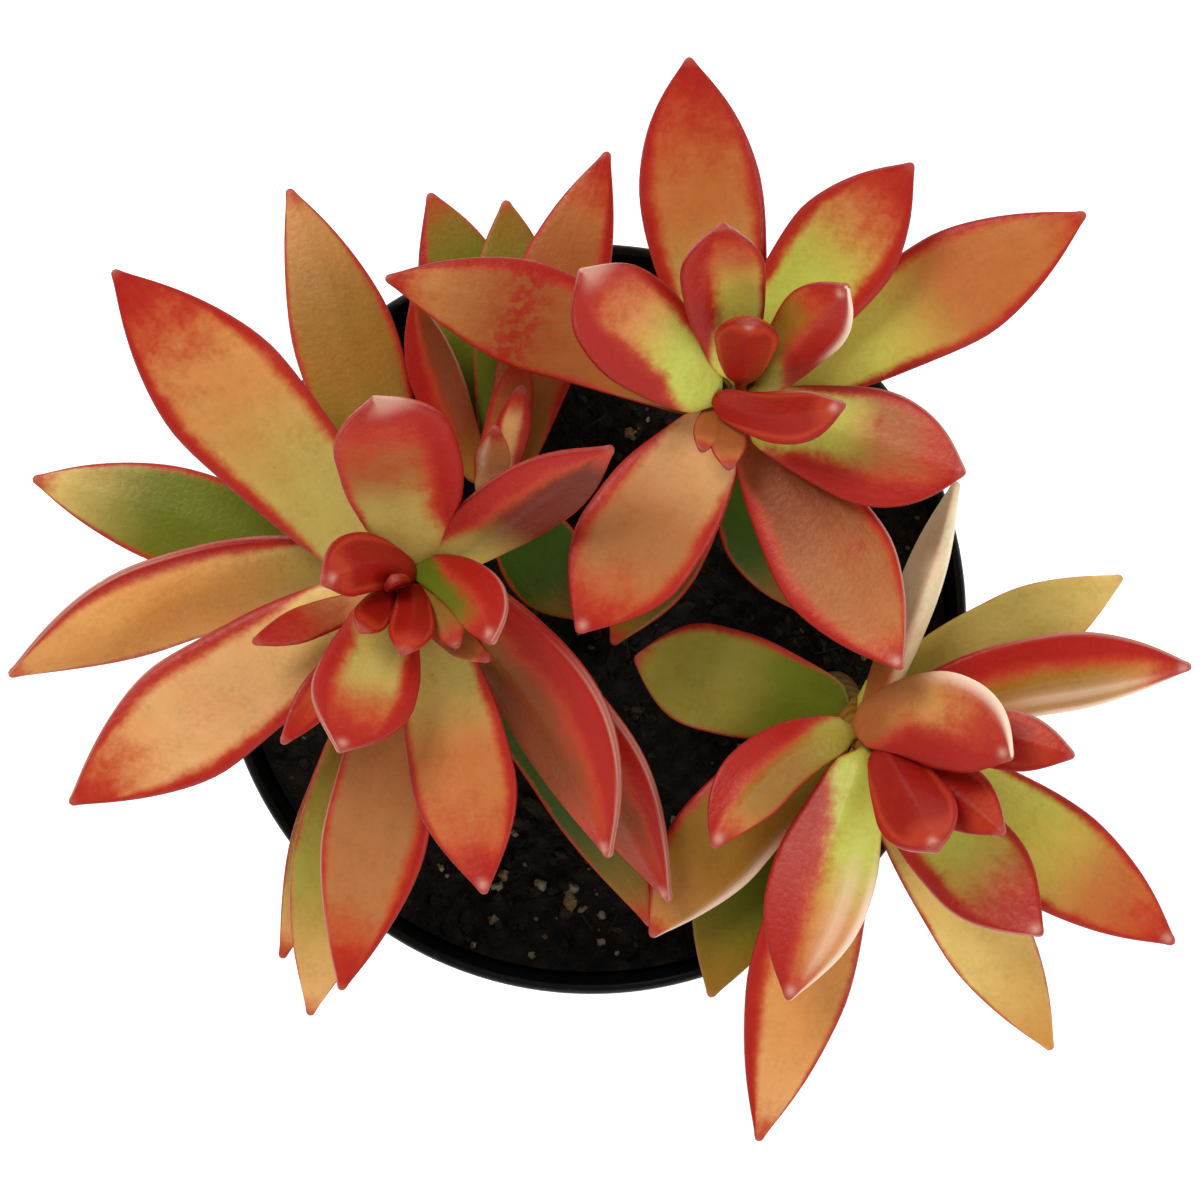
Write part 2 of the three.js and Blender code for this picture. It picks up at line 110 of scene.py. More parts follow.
# Where each leafy stem leaves the soil, how it bends, where its crown ends, and its leaves. A
# leaf's arch bulges its midrib towards its face, sway bends it to its right, roll turns its face
# to the right in degrees, and a higher taper keeps it broad towards its tip. Its left, right and
# end are the red margins' and the red tip's shares of its width and length. Fold raises its
# middle into a ridge, as a share of its width, or sinks it into a channel. Fresh is how far along
# it the colour of its root reaches. A share below 0 leaves that edge without any red. Most marks
# are painted highlights, partly a pale waxy bloom: a dot at the tip, a line on a margin, a broader
# painted sheen inside it, a painted shine or a wider gloss over it, and a painted shine on the
# whole tip. A bruise is a mottled red patch, and a scar a scratch.
LEAFY_STEMS = {
    "leafy_stem_left": {
        "foot": (-16, -2.5), "bend": (-21, 1, 84), "crown": (-21, 4, 104),
        "leaves": (
            Leaf((-23, 5.5, 102), (-54, 39.5, 108), 15, -1.5, 0, 0, 1.8, "amber", 0.12, 0.11, 0.24, 0, 0.46),
            Leaf((-22.5, 3.5, 88), (-65.5, 16.5, 86), 11.5, 0.5, 0.6, 0, 2.1, "fern", 0.05, 0.05, 0.04, 0.03),
            Leaf((-24.5, 6.5, 97), (-67, -6.5, 97), 12.5, -3.4, 1.5, -36, 1.8,
                 "flame", 0.05, 0.12, 0.03, 0.03, 0.3, "right line"),
            Leaf((-24.5, 3, 102), (-59.5, -21, 102), 14.5, -1.5, 0.3, 0, 1.8,
                 "peach", 0.12, 0.14, 0.17, 0, 0.3, "right line"),
            Leaf((-20, 0, 95), (-29, -43, 93), 12, 0, -0.3, 0, 1.8,
                 "rose", 0.15, 0.06, 0.16, 0, 0.25, "right line"),
            Leaf((-19, 1.5, 103), (-12, -31, 107), 12, -1.5, -0.3, 0, 1.9,
                 "dawn", 0.12, 0.08, 0.22, 0.02, 0.4, "dot"),
            Leaf((-21.5, 0, 88), (-33, -46.5, 86), 12, 0, 0.5, 0, 1.8, "straw", 0.02, 0.02, 0.03, 0, 0.4),
            Leaf((-22, 0, 84), (-36.5, -40, 83), 8, 0, 0, 0, 1.8, "straw", 0.04, 0.04, 0.04),
            Leaf((-19, 5, 103), (2, -27, 105), 14, -4.5, -1.8, 42, 1.9,
                 "bronze", 0.36, 0, 0.14, 0.12, 0.3, "dot left line"),
            Leaf((-18.5, 3.5, 97), (9, -32.5, 96), 13, -4, -1.2, 40, 1.8,
                 "bronze", 0.27, 0.04, 0.14, 0.08, 0.25, "dot left line"),
            # The next leaf's darker maroon ground is painted shade, for its face turned away from the light
            Leaf((-19, 5.5, 104), (2.5, 19, 119), 9.8, -1, 0, 35, 1.8, "maroon", 0.34, 0, 0.08, 0.1, 0.34),
            Leaf((-19.5, 6, 105), (-23.5, 24, 129), 14, -2.5, 0.8, 0, 2.6,
                 "clove", 0.07, 0.34, 0.34, 0.04, 0.44, "tip shine"),
            Leaf((-21.5, 4.5, 88), (-35.5, 50.5, 86), 12, 0.5, 1.3, 0, 1.9,
                 "dusk", 0.05, 0.06, 0.03, 0.03, 0.4),
            Leaf((-20, 5, 107), (-29.5, 4, 119), 7, -1, 2, 0, 2.6, "ruby", 0.12, 0.12, 0.2, 0.16, 0.1, "dot"),
            Leaf((-24.5, 2.5, 103), (-38, -2.5, 110), 4, -0.5, 0, 0, 2, "tawny", 0.12, 0.04, 0.55, 0, 0.3),
            Leaf((-24.5, 0, 102), (-35, -14, 106), 4.5, -0.5, 0, 0, 2, "copper", 0.3, 0.3, 0.4),
            Leaf((-20, 1, 104), (-11.5, -4.5, 110), 3.5, -0.5, 0, 0, 2, "copper", 0.1, 0, 0.1, 0, 0.05),
            Leaf((-18.5, 1, 88), (7, -36, 86), 11, -3, -1.5, 28, 1.8, "shade", 0.06, 0.04, 0.06),
            Leaf((-20, 6, 106), (-11, -2.5, 120), 6.5, -1, -2.6, 0, 2.6,
                 "garnet", 0.62, 0, 0.3, 0.16, 0.1, "dot left line"),
            Leaf((-23, 2.5, 105), (-28, -14.5, 116), 12, -1.5, -0.6, 0, 1.9,
                 "dawn", 0.2, 0.24, 0.3, -0.03, 0.6, "dot right line"),
            Leaf((-20.5, 4, 107), (-21, -3.5, 117), 5, -0.5, -0.8, 0, 2.6, "ruby", 0.1, 0.1, 0.2, 0.14, 0.1),
            Leaf((-22.5, 3.5, 107), (-25.5, -1, 116), 4, -0.5, 0, 0, 2.8, "ruby", 0.1, 0.1, 0.2),
            Leaf((-21.5, 3.5, 104), (-22, 4.5, 114), 3, 0, 0, 0, 2.4, "ruby", 0.1, 0.1, 0.2),
            Leaf((-20, 5.5, 105), (-15, -3, 113), 5, 0, -0.4, 0, 2.2, "umber", 0.04, 0.04, 0.2),
        ),
    },
    "leafy_stem_top": {
        "foot": (13, 16), "bend": (16, 24, 84), "crown": (16.6, 25, 106),
        "leaves": (
            Leaf((16.5, 27.5, 104), (11, 63, 113), 14, -1.5, -0.9, 0, 2,
                 "russet", 0.13, 0.12, 0.24, 0.03, 0.42),
            Leaf((18, 28, 105), (36, 51, 114), 13, -1.5, -0.5, 0, 1.8,
                 "sunny", 0.13, 0.17, 0.26, -0.03, 0.62),
            Leaf((20, 26.5, 102), (56, 46, 107), 13, -1.5, 0.3, 0, 1.8,
                 "autumn", 0.1, 0.09, 0.08, 0.02, 0.46),
            Leaf((18, 23.5, 105), (42, 16.5, 112), 13, -1.5, 0, 0, 2.4,
                 "ember", 0.1, 0.32, 0.22, 0.03, 0.5, "left line scar"),
            # The next leaf's darker brick root is painted shade near the crown
            Leaf((18, 23.5, 102), (35, -5.5, 110), 13.5, -1.5, 0.3, 0, 1.9,
                 "chestnut", 0.08, 0.15, 0.09, 0.02, 0.5, "dot left line scar"),
            Leaf((15.5, 23, 102), (-1.5, -1.5, 106), 14.5, -1, 0.3, 0, 1.9,
                 "tawny", 0.11, 0.12, 0.2, 0.02, 0.36, "dot"),
            Leaf((14, 25, 100), (-23.5, 39, 102), 12, 0, 1.8, 0, 1.8,
                 "copper", 0.05, 0.14, 0.1, 0.03, 0.25, "bruise"),
            Leaf((14, 25, 107), (-1, 38.5, 122), 12, -1.5, -0.5, 0, 2.8,
                 "sunny", 0.36, 0.14, 0.28, 0.08, 0.5, "tip shine"),
            Leaf((16.5, 27.5, 108), (14.5, 43, 128), 9.5, -2, -0.5, 0, 2.3,
                 "autumn", 0.4, 0.08, 0.2, -0.05, 0.6),
            Leaf((17, 27, 108), (17.5, 33, 122), 7, -1, 0, 0, 2.8, "ruby", 0.08, 0.08, 0.14, 0.1, 0, "dot"),
            Leaf((19.5, 26.5, 107), (28, 36.5, 125), 8, -1.5, -0.3, 0, 2.2,
                 "olive", 0.04, 0.56, 0.3, 0.16, 0.3, "right shine dot"),
            Leaf((14, 25, 108), (28, 24, 119), 6, -1, 1.8, 0, 2.2,
                 "ruby", 0.1, 0.16, 0.16, 0.16, 0.1, "left line dot"),
            Leaf((14, 24.5, 106), (12.5, 19, 110), 3, 0, 0, 0, 2, "copper", 0.06, 0.06, 0.15, 0, 0.05),
            Leaf((15.5, 24, 106), (15.5, 17, 111), 4, 0, 0, 0, 2, "copper", 0.06, 0.06, 0.15, 0, 0.05),
            Leaf((16.5, 23, 90), (24.5, 1, 86), 11, 1, 0.4, 0, 1.8, "shade", 0.03, 0.03, 0.05),
            Leaf((16, 23, 90), (2.5, -3, 87), 10, 1, 0, 0, 1.8, "shade", 0.03, 0.03, 0.05),
        ),
    },
    "leafy_stem_right": {
        "foot": (29, -9), "bend": (30.5, -11, 84), "crown": (32, -14.2, 96),
        "leaves": (
            Leaf((31.5, -10, 89), (62, 5, 89), 10, 0.5, 0.5, 0, 1.8, "lime", 0, 0, 0, 0.03),
            Leaf((33, -12, 94), (69.5, -5.5, 94), 10, -1, -2, 22, 2,
                 "olive", 0.38, 0, 0.12, 0.14, 0.25, "left line right glaze right shine dot"),
            Leaf((33.5, -13.5, 97), (55, -15.5, 104), 7, -0.5, -1.2, 0, 2.6,
                 "ruby", 0.16, 0.16, 0.2, 0.12, 0.1, "left line"),
            Leaf((30.5, -12.5, 97), (47, -15.5, 113), 11, -1, -2.8, 0, 2.6,
                 "clay", 0, 0.46, 0.36, 0.06, 0.3, "left gloss dot"),
            Leaf((33.5, -14.5, 98), (38.5, -25.5, 115), 9, -1.5, 0, 0, 2.6,
                 "ruby", 0.08, 0.1, 0.16, 0.16, 0.1, "dot"),
            Leaf((33.5, -15, 97), (46.5, -24, 109), 7.5, -1, -0.6, 0, 2, "ruby", 0.1, 0.1, 0.2, 0.14, 0.1),
            Leaf((34.5, -15, 94), (67.5, -37.5, 94), 12.5, -1, -0.6, 0, 1.8,
                 "autumn", 0.08, 0.1, 0.14, 0.02, 0.62, "dot"),
            Leaf((33.5, -16, 96), (51.5, -36, 102), 12, -1.5, 0.3, 0, 1.9,
                 "sunny", 0.1, 0.16, 0.26, -0.03, 0.62, "right line dot"),
            Leaf((32, -16, 91), (54, -50.5, 86), 10.5, 0.5, -0.5, 0, 1.9, "sand", 0.02, 0.03, 0, 0.03),
            Leaf((31, -16, 91), (19.5, -61, 88), 12, 0, 0.1, 0, 1.7, "tender", 0.05, 0.2, 0.06, 0.02, 0.25),
            Leaf((31.5, -15.5, 97), (22.5, -43.5, 101), 12, -1, 0.3, 0, 1.9,
                 "sunny", 0, 0.44, 0.1, 0.16, 0.54, "left glaze left shine dot"),
            Leaf((30, -13, 96), (14, -26, 103), 8.2, 0.5, 3, 0, 2.3,
                 "olive", 0.04, 0.42, 0.14, 0.15, 0.25, "dot"),
            Leaf((29.5, -12.5, 90), (7, -37, 90), 11.5, 0, 1.8, 0, 2,
                 "olive", 0.04, 0.08, 0.04, 0.04, 0.25, "left shine"),
            Leaf((28.5, -11, 84), (14, -44.5, 84), 13, 0.5, 1.2, 0, 1.8, "grass", 0, 0, 0),
            Leaf((30, -11, 86), (5, -4.5, 88), 12.5, -0.5, 0, 0, 2.8, "reed", 0.02, 0.07, 0.05, 0.02, 0.45),
            Leaf((32, -11, 90), (42, 16, 97), 10, 0, 0.9, -76, 1.8, "cream", 0.02, -0.05, 0, 0, 0.45),
        ),
    },
    "leafy_stem_back": {
        "foot": (-9.5, 11), "bend": (-11.4, 14.5, 78), "crown": (-11.7, 15.6, 90),
        "leaves": (
            Leaf((-10, 16.5, 87), (2, 54.5, 90), 10.5, 0, -0.6, 0, 1.8, "copper", 0.05, 0.16, 0.14, 0.02),
            Leaf((-10.5, 16.5, 86), (-10, 49, 88), 10, 0, 1.2, 0, 2.1, "grass", 0.03, 0.03, 0.02),
            Leaf((-12, 17, 84), (-19, 50, 86), 11, 0, 1.8, 0, 2, "grass", 0.14, 0.03, 0.06),
            Leaf((-10.5, 15, 86), (-1.5, 0, 81), 10, 0.5, 0, 0, 2, "shade", 0.03, 0.03, 0.05),
            Leaf((-12.5, 14.5, 90), (-11, 22, 100), 4, 0, 0.3, 0, 2,
                 "tawny", 0.08, 0, 0.1, 0.08, 0.4, "left glaze"),
            Leaf((-10.5, 15.5, 90), (-8, 27, 95), 4, 0, 0, 0, 2, "petal", 0.2, 0.3, 0.2, 0.08, 0.2),
            Leaf((-12.5, 16.5, 89), (-8, 31, 92), 5, 0, 0.6, 0, 2, "ember", 0.12, 0.12, 0.2, 0, 0.1),
            Leaf((-12.5, 16, 88), (-20.5, 37.5, 93), 6, -1, -1, 0, 2,
                 "bronze", 0.45, 0, 0.06, 0.1, 0.2, "right line"),
        ),
    },
}

# The colours of a leaf beneath its red: at its root, its middle, its outer part and its back
TONES = {
    "amber": ("moss", "amber", "amber", "moss"),
    "umber": ("olive", "olive", "copper", "olive"),
    "sand": ("moss", "sand", "gold", "sand"),
    "sunny": ("lime", "amber", "russet", "moss"),
    "dawn": ("moss", "russet", "russet", "moss"),
    "petal": ("sage", "peach", "maroon", "peach"),
    "ember": ("lime", "copper", "brick", "brick"),
    "clove": ("moss", "copper", "brick", "crimson"),
    # A darker ground, painted shade for a leaf whose face is turned away from the light
    "maroon": ("moss", "maroon", "maroon", "crimson"),
    "lime": ("lime", "moss", "sand", "moss"),
    # A darker brick root, painted shade near the crown
    "chestnut": ("brick", "copper", "russet", "copper"),
    "olive": ("meadow", "olive", "amber", "olive"),
    "fern": ("forest", "fern", "sand", "fern"),
    "grass": ("forest", "fern", "olive", "fern"),
    "peach": ("sand", "peach", "amber", "cream"),
    "rose": ("rose", "rose", "russet", "rose"),
    "russet": ("moss", "russet", "russet", "russet"),
    "bronze": ("olive", "brick", "brick", "crimson"),
    "flame": ("moss", "honey", "amber", "scarlet"),
    "straw": ("olive", "sage", "peach", "sage"),
    "ruby": ("ruby", "ruby", "ruby", "ruby"),
    "garnet": ("fern", "fern", "ruby", "ruby"),
    "clay": ("copper", "amber", "brick", "sand"),
    "reed": ("fern", "sage", "sage", "sage"),
    "copper": ("olive", "copper", "amber", "copper"),
    "tawny": ("peach", "rose", "russet", "moss"),
    "tender": ("moss", "amber", "peach", "moss"),
    "autumn": ("spring", "russet", "russet", "moss"),
    "dusk": ("fern", "olive", "amber", "fern"),
    "shade": ("forest", "forest", "olive", "forest"),
    "cream": ("russet", "cream", "cream", "cream"),
}

# Pale mineral grains that lie on the soil where it shows, in millimetres: (x, y, radius)
GRAINS = (
    (-9.2, -25.6, 0.6), (-6.1, -31.8, 1.1), (-2, -32.2, 0.9), (-11.3, -32, 1), (-18, -29.8, 0.6),
    (-11.7, -36, 0.8), (-1.1, -34.7, 0.7), (1.3, -35.4, 0.8), (1.2, -38.6, 0.8), (-7.1, -40.2, 0.6),
    (-14.1, -39, 0.5), (3.1, -40, 0.5), (38, 3, 0.9), (-36, 10, 0.8), (-30, -22, 0.7), (6, 8, 0.9),
    (22, -28, 0.8), (3, -14, 1), (20, 36, 0.8), (-26, 29, 0.9), (36, 20, 0.7), (10, -24, 0.7),
)


# Properties: the sizes and colours that a user would change

def length(name, description, millimetres):
    """A length property whose default is given in millimetres"""
    return FloatProperty(
        name=name, description=description, default=millimetres * MM, min=0, unit="LENGTH", precision=5
    )


def share(name, description, default):
    """A plain share from 0 to 1"""
    return FloatProperty(name=name, description=description, default=default, min=0, max=1)


def count(name, description, default):
    """A whole number of at least 3"""
    return IntProperty(name=name, description=description, default=default, min=3)


def strength(name, description, default):
    """The strength of a light, with no upper limit"""
    return FloatProperty(name=name, description=description, default=default, min=0)


def linear(level):
    """A screen level from 0 to 255 as linear light"""
    signal = level / 255
    return signal / 12.92 if signal <= 0.04045 else ((signal + 0.055) / 1.055) ** 2.4


def colour(name, description, red, green, blue):
    """A colour property whose default is given in screen levels"""
    return FloatVectorProperty(
        name=name, description=description, default=(linear(red), linear(green), linear(blue)),
        min=0, max=1, subtype="COLOR",
    )


class PotSettings(bpy.types.PropertyGroup):
    """The sizes and colours of the pot"""

    height: length("Height", "Height of the pot", POT_HIGH.z / MM)
    rim_radius: length("Rim radius", "Outer radius of the rim", POT_HIGH.x / MM)
    base_radius: length("Base radius", "Outer radius at the foot", 32)
    wall: length("Wall", "Thickness of the wall", 1.2)
    floor: length("Floor", "Thickness of the floor", 1.6)
    band_height: length("Band height", "Height of the wider band under the rim", 9)
    band_foot_radius: length("Band foot radius", "Outer radius of the band at its lower edge", 43.7)
    shoulder_radius: length("Shoulder radius", "Outer radius of the cup just under the band", 41.6)
    drain_count: count("Drain holes", "Number of drain holes in the floor", 8)
    drain_radius: length("Drain radius", "Radius of each drain hole", 3.5)
    drain_circle: length("Drain circle", "Radius of the circle that the drain holes stand on", 24)
    sides: count("Sides", "Number of faces round the pot", 192)
    edge: length("Edge", "Width of the rounding on the moulded edges", 0.3)
    plastic: colour("Plastic", "Colour of the plastic", 8, 8, 8)
    scuff: colour("Scuff", "Colour of scuffs and dust on the plastic", 92, 88, 82)


class SoilSettings(bpy.types.PropertyGroup):
    """The sizes and colours of the soil and of the mineral grains in it"""

    level: length("Level", "Height of the soil's surface", 74.2)
    lumps: length("Lumps", "Height of the broad lumps in the surface", 0.7)
    relief: length("Relief", "Height of the fine relief in the surface", 0.9)
    clearance: length("Clearance", "Gap between the soil and the pot", 0.3)
    shelf: length("Shelf", "Height above which the soil fills the pot's band", 72.3)
    spacing: length("Spacing", "Distance between the points of the surface", 0.45)
    crumbs: count("Crumbs", "Number of loose crumbs on the surface", 1500)
    chips: count("Chips", "Number of bark chips and fibres on the surface", 260)
    fine_grains: count("Fine grains", "Number of tiny pale grains besides the placed ones", 40)
    dark: colour("Dark", "Colour of wet peat", 12, 11, 9)
    brown: colour("Brown", "Colour of dry peat and bark", 46, 37, 27)
    straw: colour("Straw", "Colour of the palest fibres", 128, 108, 74)
    mineral: colour("Mineral", "Colour of the mineral grains", 124, 116, 94)


class LeafSettings(bpy.types.PropertyGroup):
    """The sizes and colours of the leafy stems"""

    segments: count("Segments", "Number of faces round a leaf", 40)
    rings: count("Rings", "Number of sections along a leaf", 34)
    thickness: share("Thickness", "Thickness of a leaf as a share of its width", 0.34)
    upper_share: share("Upper share", "Share of the thickness that lies above the margins", 0.28)
    widest_at: share("Widest at", "Where a leaf is widest, as a share of its length", 0.58)
    root_width: share("Root width", "Width of a leaf's root as a share of its width", 0.44)
    cup: share("Cup", "How far the margins are lifted, as a share of the width", 0.05)
    nib: length("Nib", "Radius of the small rounded point that ends a leaf", 0.5)
    stem_radius: length("Stem radius", "Radius of a stem at the soil", 2.7)
    crown_radius: length("Crown radius", "Radius of a stem at its crown", 1.7)
    stem_foot: length("Stem foot", "Height of the stem's lower end in its hole", 58)
    spring: colour("Spring", "Brightest yellow-green near the crown", 224, 226, 104)
    lime: colour("Lime", "Fresh yellow-green near the crown", 200, 208, 92)
    moss: colour("Moss", "Muted yellow-green", 196, 178, 96)
    meadow: colour("Meadow", "Middling yellow-green", 180, 172, 74)
    sage: colour("Sage", "Dull yellow-green", 164, 156, 66)
    fern: colour("Fern", "Mid green of a shaded leaf", 108, 124, 28)
    forest: colour("Forest", "Dark green of a leaf deep in shade", 56, 88, 18)
    olive: colour("Olive", "Brownish green", 160, 114, 40)
    gold: colour("Gold", "Yellow-tan", 206, 144, 66)
    honey: colour("Honey", "Light golden tan of a leaf turned aside", 236, 168, 88)
    sand: colour("Sand", "Pale yellow-tan", 232, 202, 122)
    amber: colour("Amber", "Orange-tan of a sunlit leaf", 214, 148, 84)
    peach: colour("Peach", "Pale orange-pink", 224, 168, 112)
    cream: colour("Cream", "Pale back of a leaf", 236, 218, 184)
    rose: colour("Rose", "Rosy brown", 186, 122, 74)
    russet: colour("Russet", "Orange-brown", 196, 116, 62)
    copper: colour("Copper", "Darker orange-brown", 170, 98, 50)
    brick: colour("Brick", "Reddish brown", 140, 68, 34)
    maroon: colour("Maroon", "Darkest reddish brown", 106, 34, 16)
    ruby: colour("Ruby", "Deep red of the youngest leaves", 158, 26, 18)
    scarlet: colour("Scarlet", "Inner part of a red margin", 186, 62, 34)
    crimson: colour("Crimson", "Outer part of a red margin", 168, 30, 22)
    wine: colour("Wine", "Darkest line along a margin", 124, 22, 18)
    # Painted highlights, partly a pale waxy bloom, are laid in this colour
    highlight_pearl: colour("Pearl", "Pale waxy dots and lines", 250, 222, 196)
    bark: colour("Bark", "Brown of an old stem", 112, 92, 58)


class StageSettings(bpy.types.PropertyGroup):
    """The camera, the lights and the floor"""

    camera_height: length("Camera height", "Height of the camera above the floor", 680)
    aim_x: FloatProperty(name="Aim X", description="Camera's place to the right", default=1.04 * MM)
    aim_y: FloatProperty(name="Aim Y", description="Camera's place upwards in the view", default=2.26 * MM)
    lens: FloatProperty(name="Lens", description="Focal length in millimetres", default=152, min=20)
    floor_size: length("Floor size", "Side of the floor", 6000)
    floor_colour: colour("Floor colour", "Colour of the floor", 250, 250, 250)
    horizon: strength("Horizon", "Strength of the light from the sides", 0.92)
    zenith: strength("Zenith", "Strength of the light from above", 0.12)
    glow: strength("Glow", "Light given off by the floor", 0.5)


# Small helpers for objects and meshes

def deselect():
    """Leave nothing selected"""
    bpy.ops.object.select_all(action="DESELECT")


def activate(piece):
    """Make a piece the only selected one and the active one"""
    deselect()
    piece.select_set(True)
    bpy.context.view_layer.objects.active = piece


def joined(pieces, name):
    """Join several objects into one"""
    deselect()
    for piece in pieces:
        piece.select_set(True)
    bpy.context.view_layer.objects.active = pieces[0]
    if len(pieces) > 1:
        bpy.ops.object.join()
    pieces[0].name = name
    pieces[0].data.name = name
    return pieces[0]


def points_of(mesh):
    """A mesh's points as rows of x, y and z"""
    places = np.empty(len(mesh.vertices) * 3)
    mesh.vertices.foreach_get("co", places)
    return places.reshape(-1, 3)


def place_points(mesh, places):
    """Move a mesh's points"""
    mesh.vertices.foreach_set("co", np.asarray(places).ravel())
    mesh.update()


def paint(mesh, name, values, kind="FLOAT"):
    """Give each point of a mesh a number, a vector or a colour for the materials to read"""
    field = {"FLOAT": "value", "FLOAT_VECTOR": "vector", "FLOAT_COLOR": "color"}[kind]
    layer = mesh.attributes.new(name, kind, "POINT")
    layer.data.foreach_set(field, np.asarray(values, dtype=np.float32).ravel())


def smooth_step(values, low, high):
    """0 at low and before it, 1 at high and past it, and a soft slope between"""
    level = np.clip((values - low) / (high - low), 0, 1)
    return level * level * (3 - 2 * level)


def shade_smooth(piece, degrees=180):
    """Shade a piece smooth, with creases sharper than an angle"""
    activate(piece)
    bpy.ops.object.shade_smooth_by_angle(angle=math.radians(degrees))


def face_outwards(piece):
    """Turn all the faces of a closed piece outwards"""
    activate(piece)
    bpy.ops.object.mode_set(mode="EDIT")
    bpy.ops.mesh.select_all(action="SELECT")
    bpy.ops.mesh.normals_make_consistent(inside=False)
    bpy.ops.object.mode_set(mode="OBJECT")


def apply_modifier(piece, name, kind, **settings):
    """Give a piece a modifier with its settings, and apply it"""
    modifier = piece.modifiers.new(name, kind)
    for label, value in settings.items():
        setattr(modifier, label, value)
    activate(piece)
    bpy.ops.object.modifier_apply(modifier=modifier.name)


def cut_away(piece, cutter):
    """Cut a shape out of a piece, and remove the cutter"""
    apply_modifier(piece, "cut", "BOOLEAN", operation="DIFFERENCE", solver="EXACT", object=cutter)
    bpy.data.objects.remove(cutter)


def upright_bars(places, radius, low, high, sides):
    """Upright round bars at several places, as one cutter"""
    bars = []
    for x, y in places:
        deselect()
        bpy.ops.mesh.primitive_cylinder_add(
            vertices=sides, radius=radius, depth=high - low, location=(x, y, (low + high) / 2)
        )
        bpy.ops.object.transform_apply()
        bars.append(bpy.context.object)
    return joined(bars, "bars")


def raised_rings(profile, sides):
    """A turned solid, raised ring by ring from its underside to its last face"""
    deselect()
    (radius, height), *rest = profile
    bpy.ops.mesh.primitive_circle_add(
        vertices=sides, radius=radius, fill_type="NGON", location=(0, 0, height)
    )
    bpy.ops.object.transform_apply()
    bpy.ops.object.mode_set(mode="EDIT")
    bpy.ops.mesh.select_all(action="SELECT")
    for next_radius, next_height in rest:
        rise = {"value": (0, 0, next_height - height)}
        bpy.ops.mesh.extrude_region_move(TRANSFORM_OT_translate=rise)
        scale = next_radius / radius
        bpy.ops.transform.resize(value=(scale, scale, 1), center_override=(0, 0, next_height))
        radius, height = next_radius, next_height
    bpy.ops.object.mode_set(mode="OBJECT")
    return bpy.context.object


def placed(place, turn, size):
    """The matrix that sizes, turns and places a copy of a template"""
    return Matrix.Translation(place) @ turn @ Matrix.Scale(size, 4)


def scattered(templates, places):
    """One mesh object that holds a copy of a template at each place, and no templates left. A
    place is a template's number, a matrix and a shade."""
    heap = bmesh.new()
    shades = []
    for number, matrix, shade in places:
        copy = templates[number].data.copy()
        copy.transform(matrix)
        heap.from_mesh(copy)
        shades += [shade] * len(copy.vertices)
        bpy.data.meshes.remove(copy)
    mesh = bpy.data.meshes.new("heap")
    heap.to_mesh(mesh)
    heap.free()
    paint(mesh, "shade", shades)
    piece = bpy.data.objects.new("heap", mesh)
    bpy.context.scene.collection.objects.link(piece)
    for template in templates:
        bpy.data.objects.remove(template)
    return piece


def finish_piece(piece, name, node_name, material):
    """Name a piece, give it its material, and tie it to the frame"""
    piece.name = name
    piece.data.name = name
    piece.data.materials.clear()
    piece.data.materials.append(material)
    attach(piece, BODY)
    if node_name:
        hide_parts(node_name)


# Small helpers for materials

def node(tree, kind, inputs=None, **settings):
    """A new node, with its settings made and its sockets set or linked"""
    new = tree.nodes.new(kind)
    for name, value in settings.items():
        setattr(new, name, value)
    for name, value in (inputs or {}).items():
        if isinstance(value, bpy.types.NodeSocket):
            tree.links.new(value, new.inputs[name])
        else:
            new.inputs[name].default_value = value
    return new


def mixed(tree, amount, first, second, blend="MIX"):
    """A mix of two colours"""
    sockets = {0: amount, 6: first, 7: second}
    return node(tree, "ShaderNodeMix", sockets, data_type="RGBA", blend_type=blend).outputs[2]


def maths(tree, operation, first, second=0.0, clamp=False):
    """The result of one sum"""
    sockets = {0: first, 1: second}
    return node(tree, "ShaderNodeMath", sockets, operation=operation, use_clamp=clamp).outputs[0]


def scaled(tree, value, amount):
    """A value times an amount"""
    return maths(tree, "MULTIPLY", value, amount)


def added(tree, total, *others):
    """The sum of several values"""
    for other in others:
        total = maths(tree, "ADD", total, other)
    return total


def swung(tree, value, middle, reach):
    """How far a value is from its middle, times a reach"""
    return scaled(tree, maths(tree, "SUBTRACT", value, middle), reach)


def tinted(tree, amount, base, tint):
    """A colour multiplied by a tint, by an amount"""
    return mixed(tree, amount, base, mixed(tree, 1.0, base, solid(tint), "MULTIPLY"))


def ranged(tree, mask, low, high):
    """A mask from 0 to 1 brought to another range"""
    sockets = {"Value": mask, "To Min": low, "To Max": high}
    return node(tree, "ShaderNodeMapRange", sockets).outputs["Result"]


def stretched(tree, place, scale):
    """A place stretched or squeezed along its axes"""
    return node(tree, "ShaderNodeMapping", {"Vector": place, "Scale": scale}).outputs["Vector"]


def sloped(tree, value, low, high):
    """0 below low, 1 above high and a soft slope between"""
    sockets = {"Value": value, "From Min": low, "From Max": high}
    return node(tree, "ShaderNodeMapRange", sockets, interpolation_type="SMOOTHSTEP").outputs["Result"]


def attribute(tree, name, output="Fac"):
    """What a piece's points hold under a name"""
    return node(tree, "ShaderNodeAttribute", attribute_name=name).outputs[output]


def solid(colour_value):
    """A colour with full opacity"""
    return (*colour_value, 1)


def new_group(name, **numbers):
    """An empty node group that takes a vector and named numbers, and gives a mask"""
    group = bpy.data.node_groups.new(name, "ShaderNodeTree")
    sockets = group.interface
    sockets.new_socket("Vector", in_out="INPUT", socket_type="NodeSocketVector")
    for label, default in numbers.items():
        socket = sockets.new_socket(label, in_out="INPUT", socket_type="NodeSocketFloat")
        socket.default_value = default
    sockets.new_socket("Mask", in_out="OUTPUT", socket_type="NodeSocketFloat")
    return group, group.nodes.new("NodeGroupInput").outputs, group.nodes.new("NodeGroupOutput").inputs


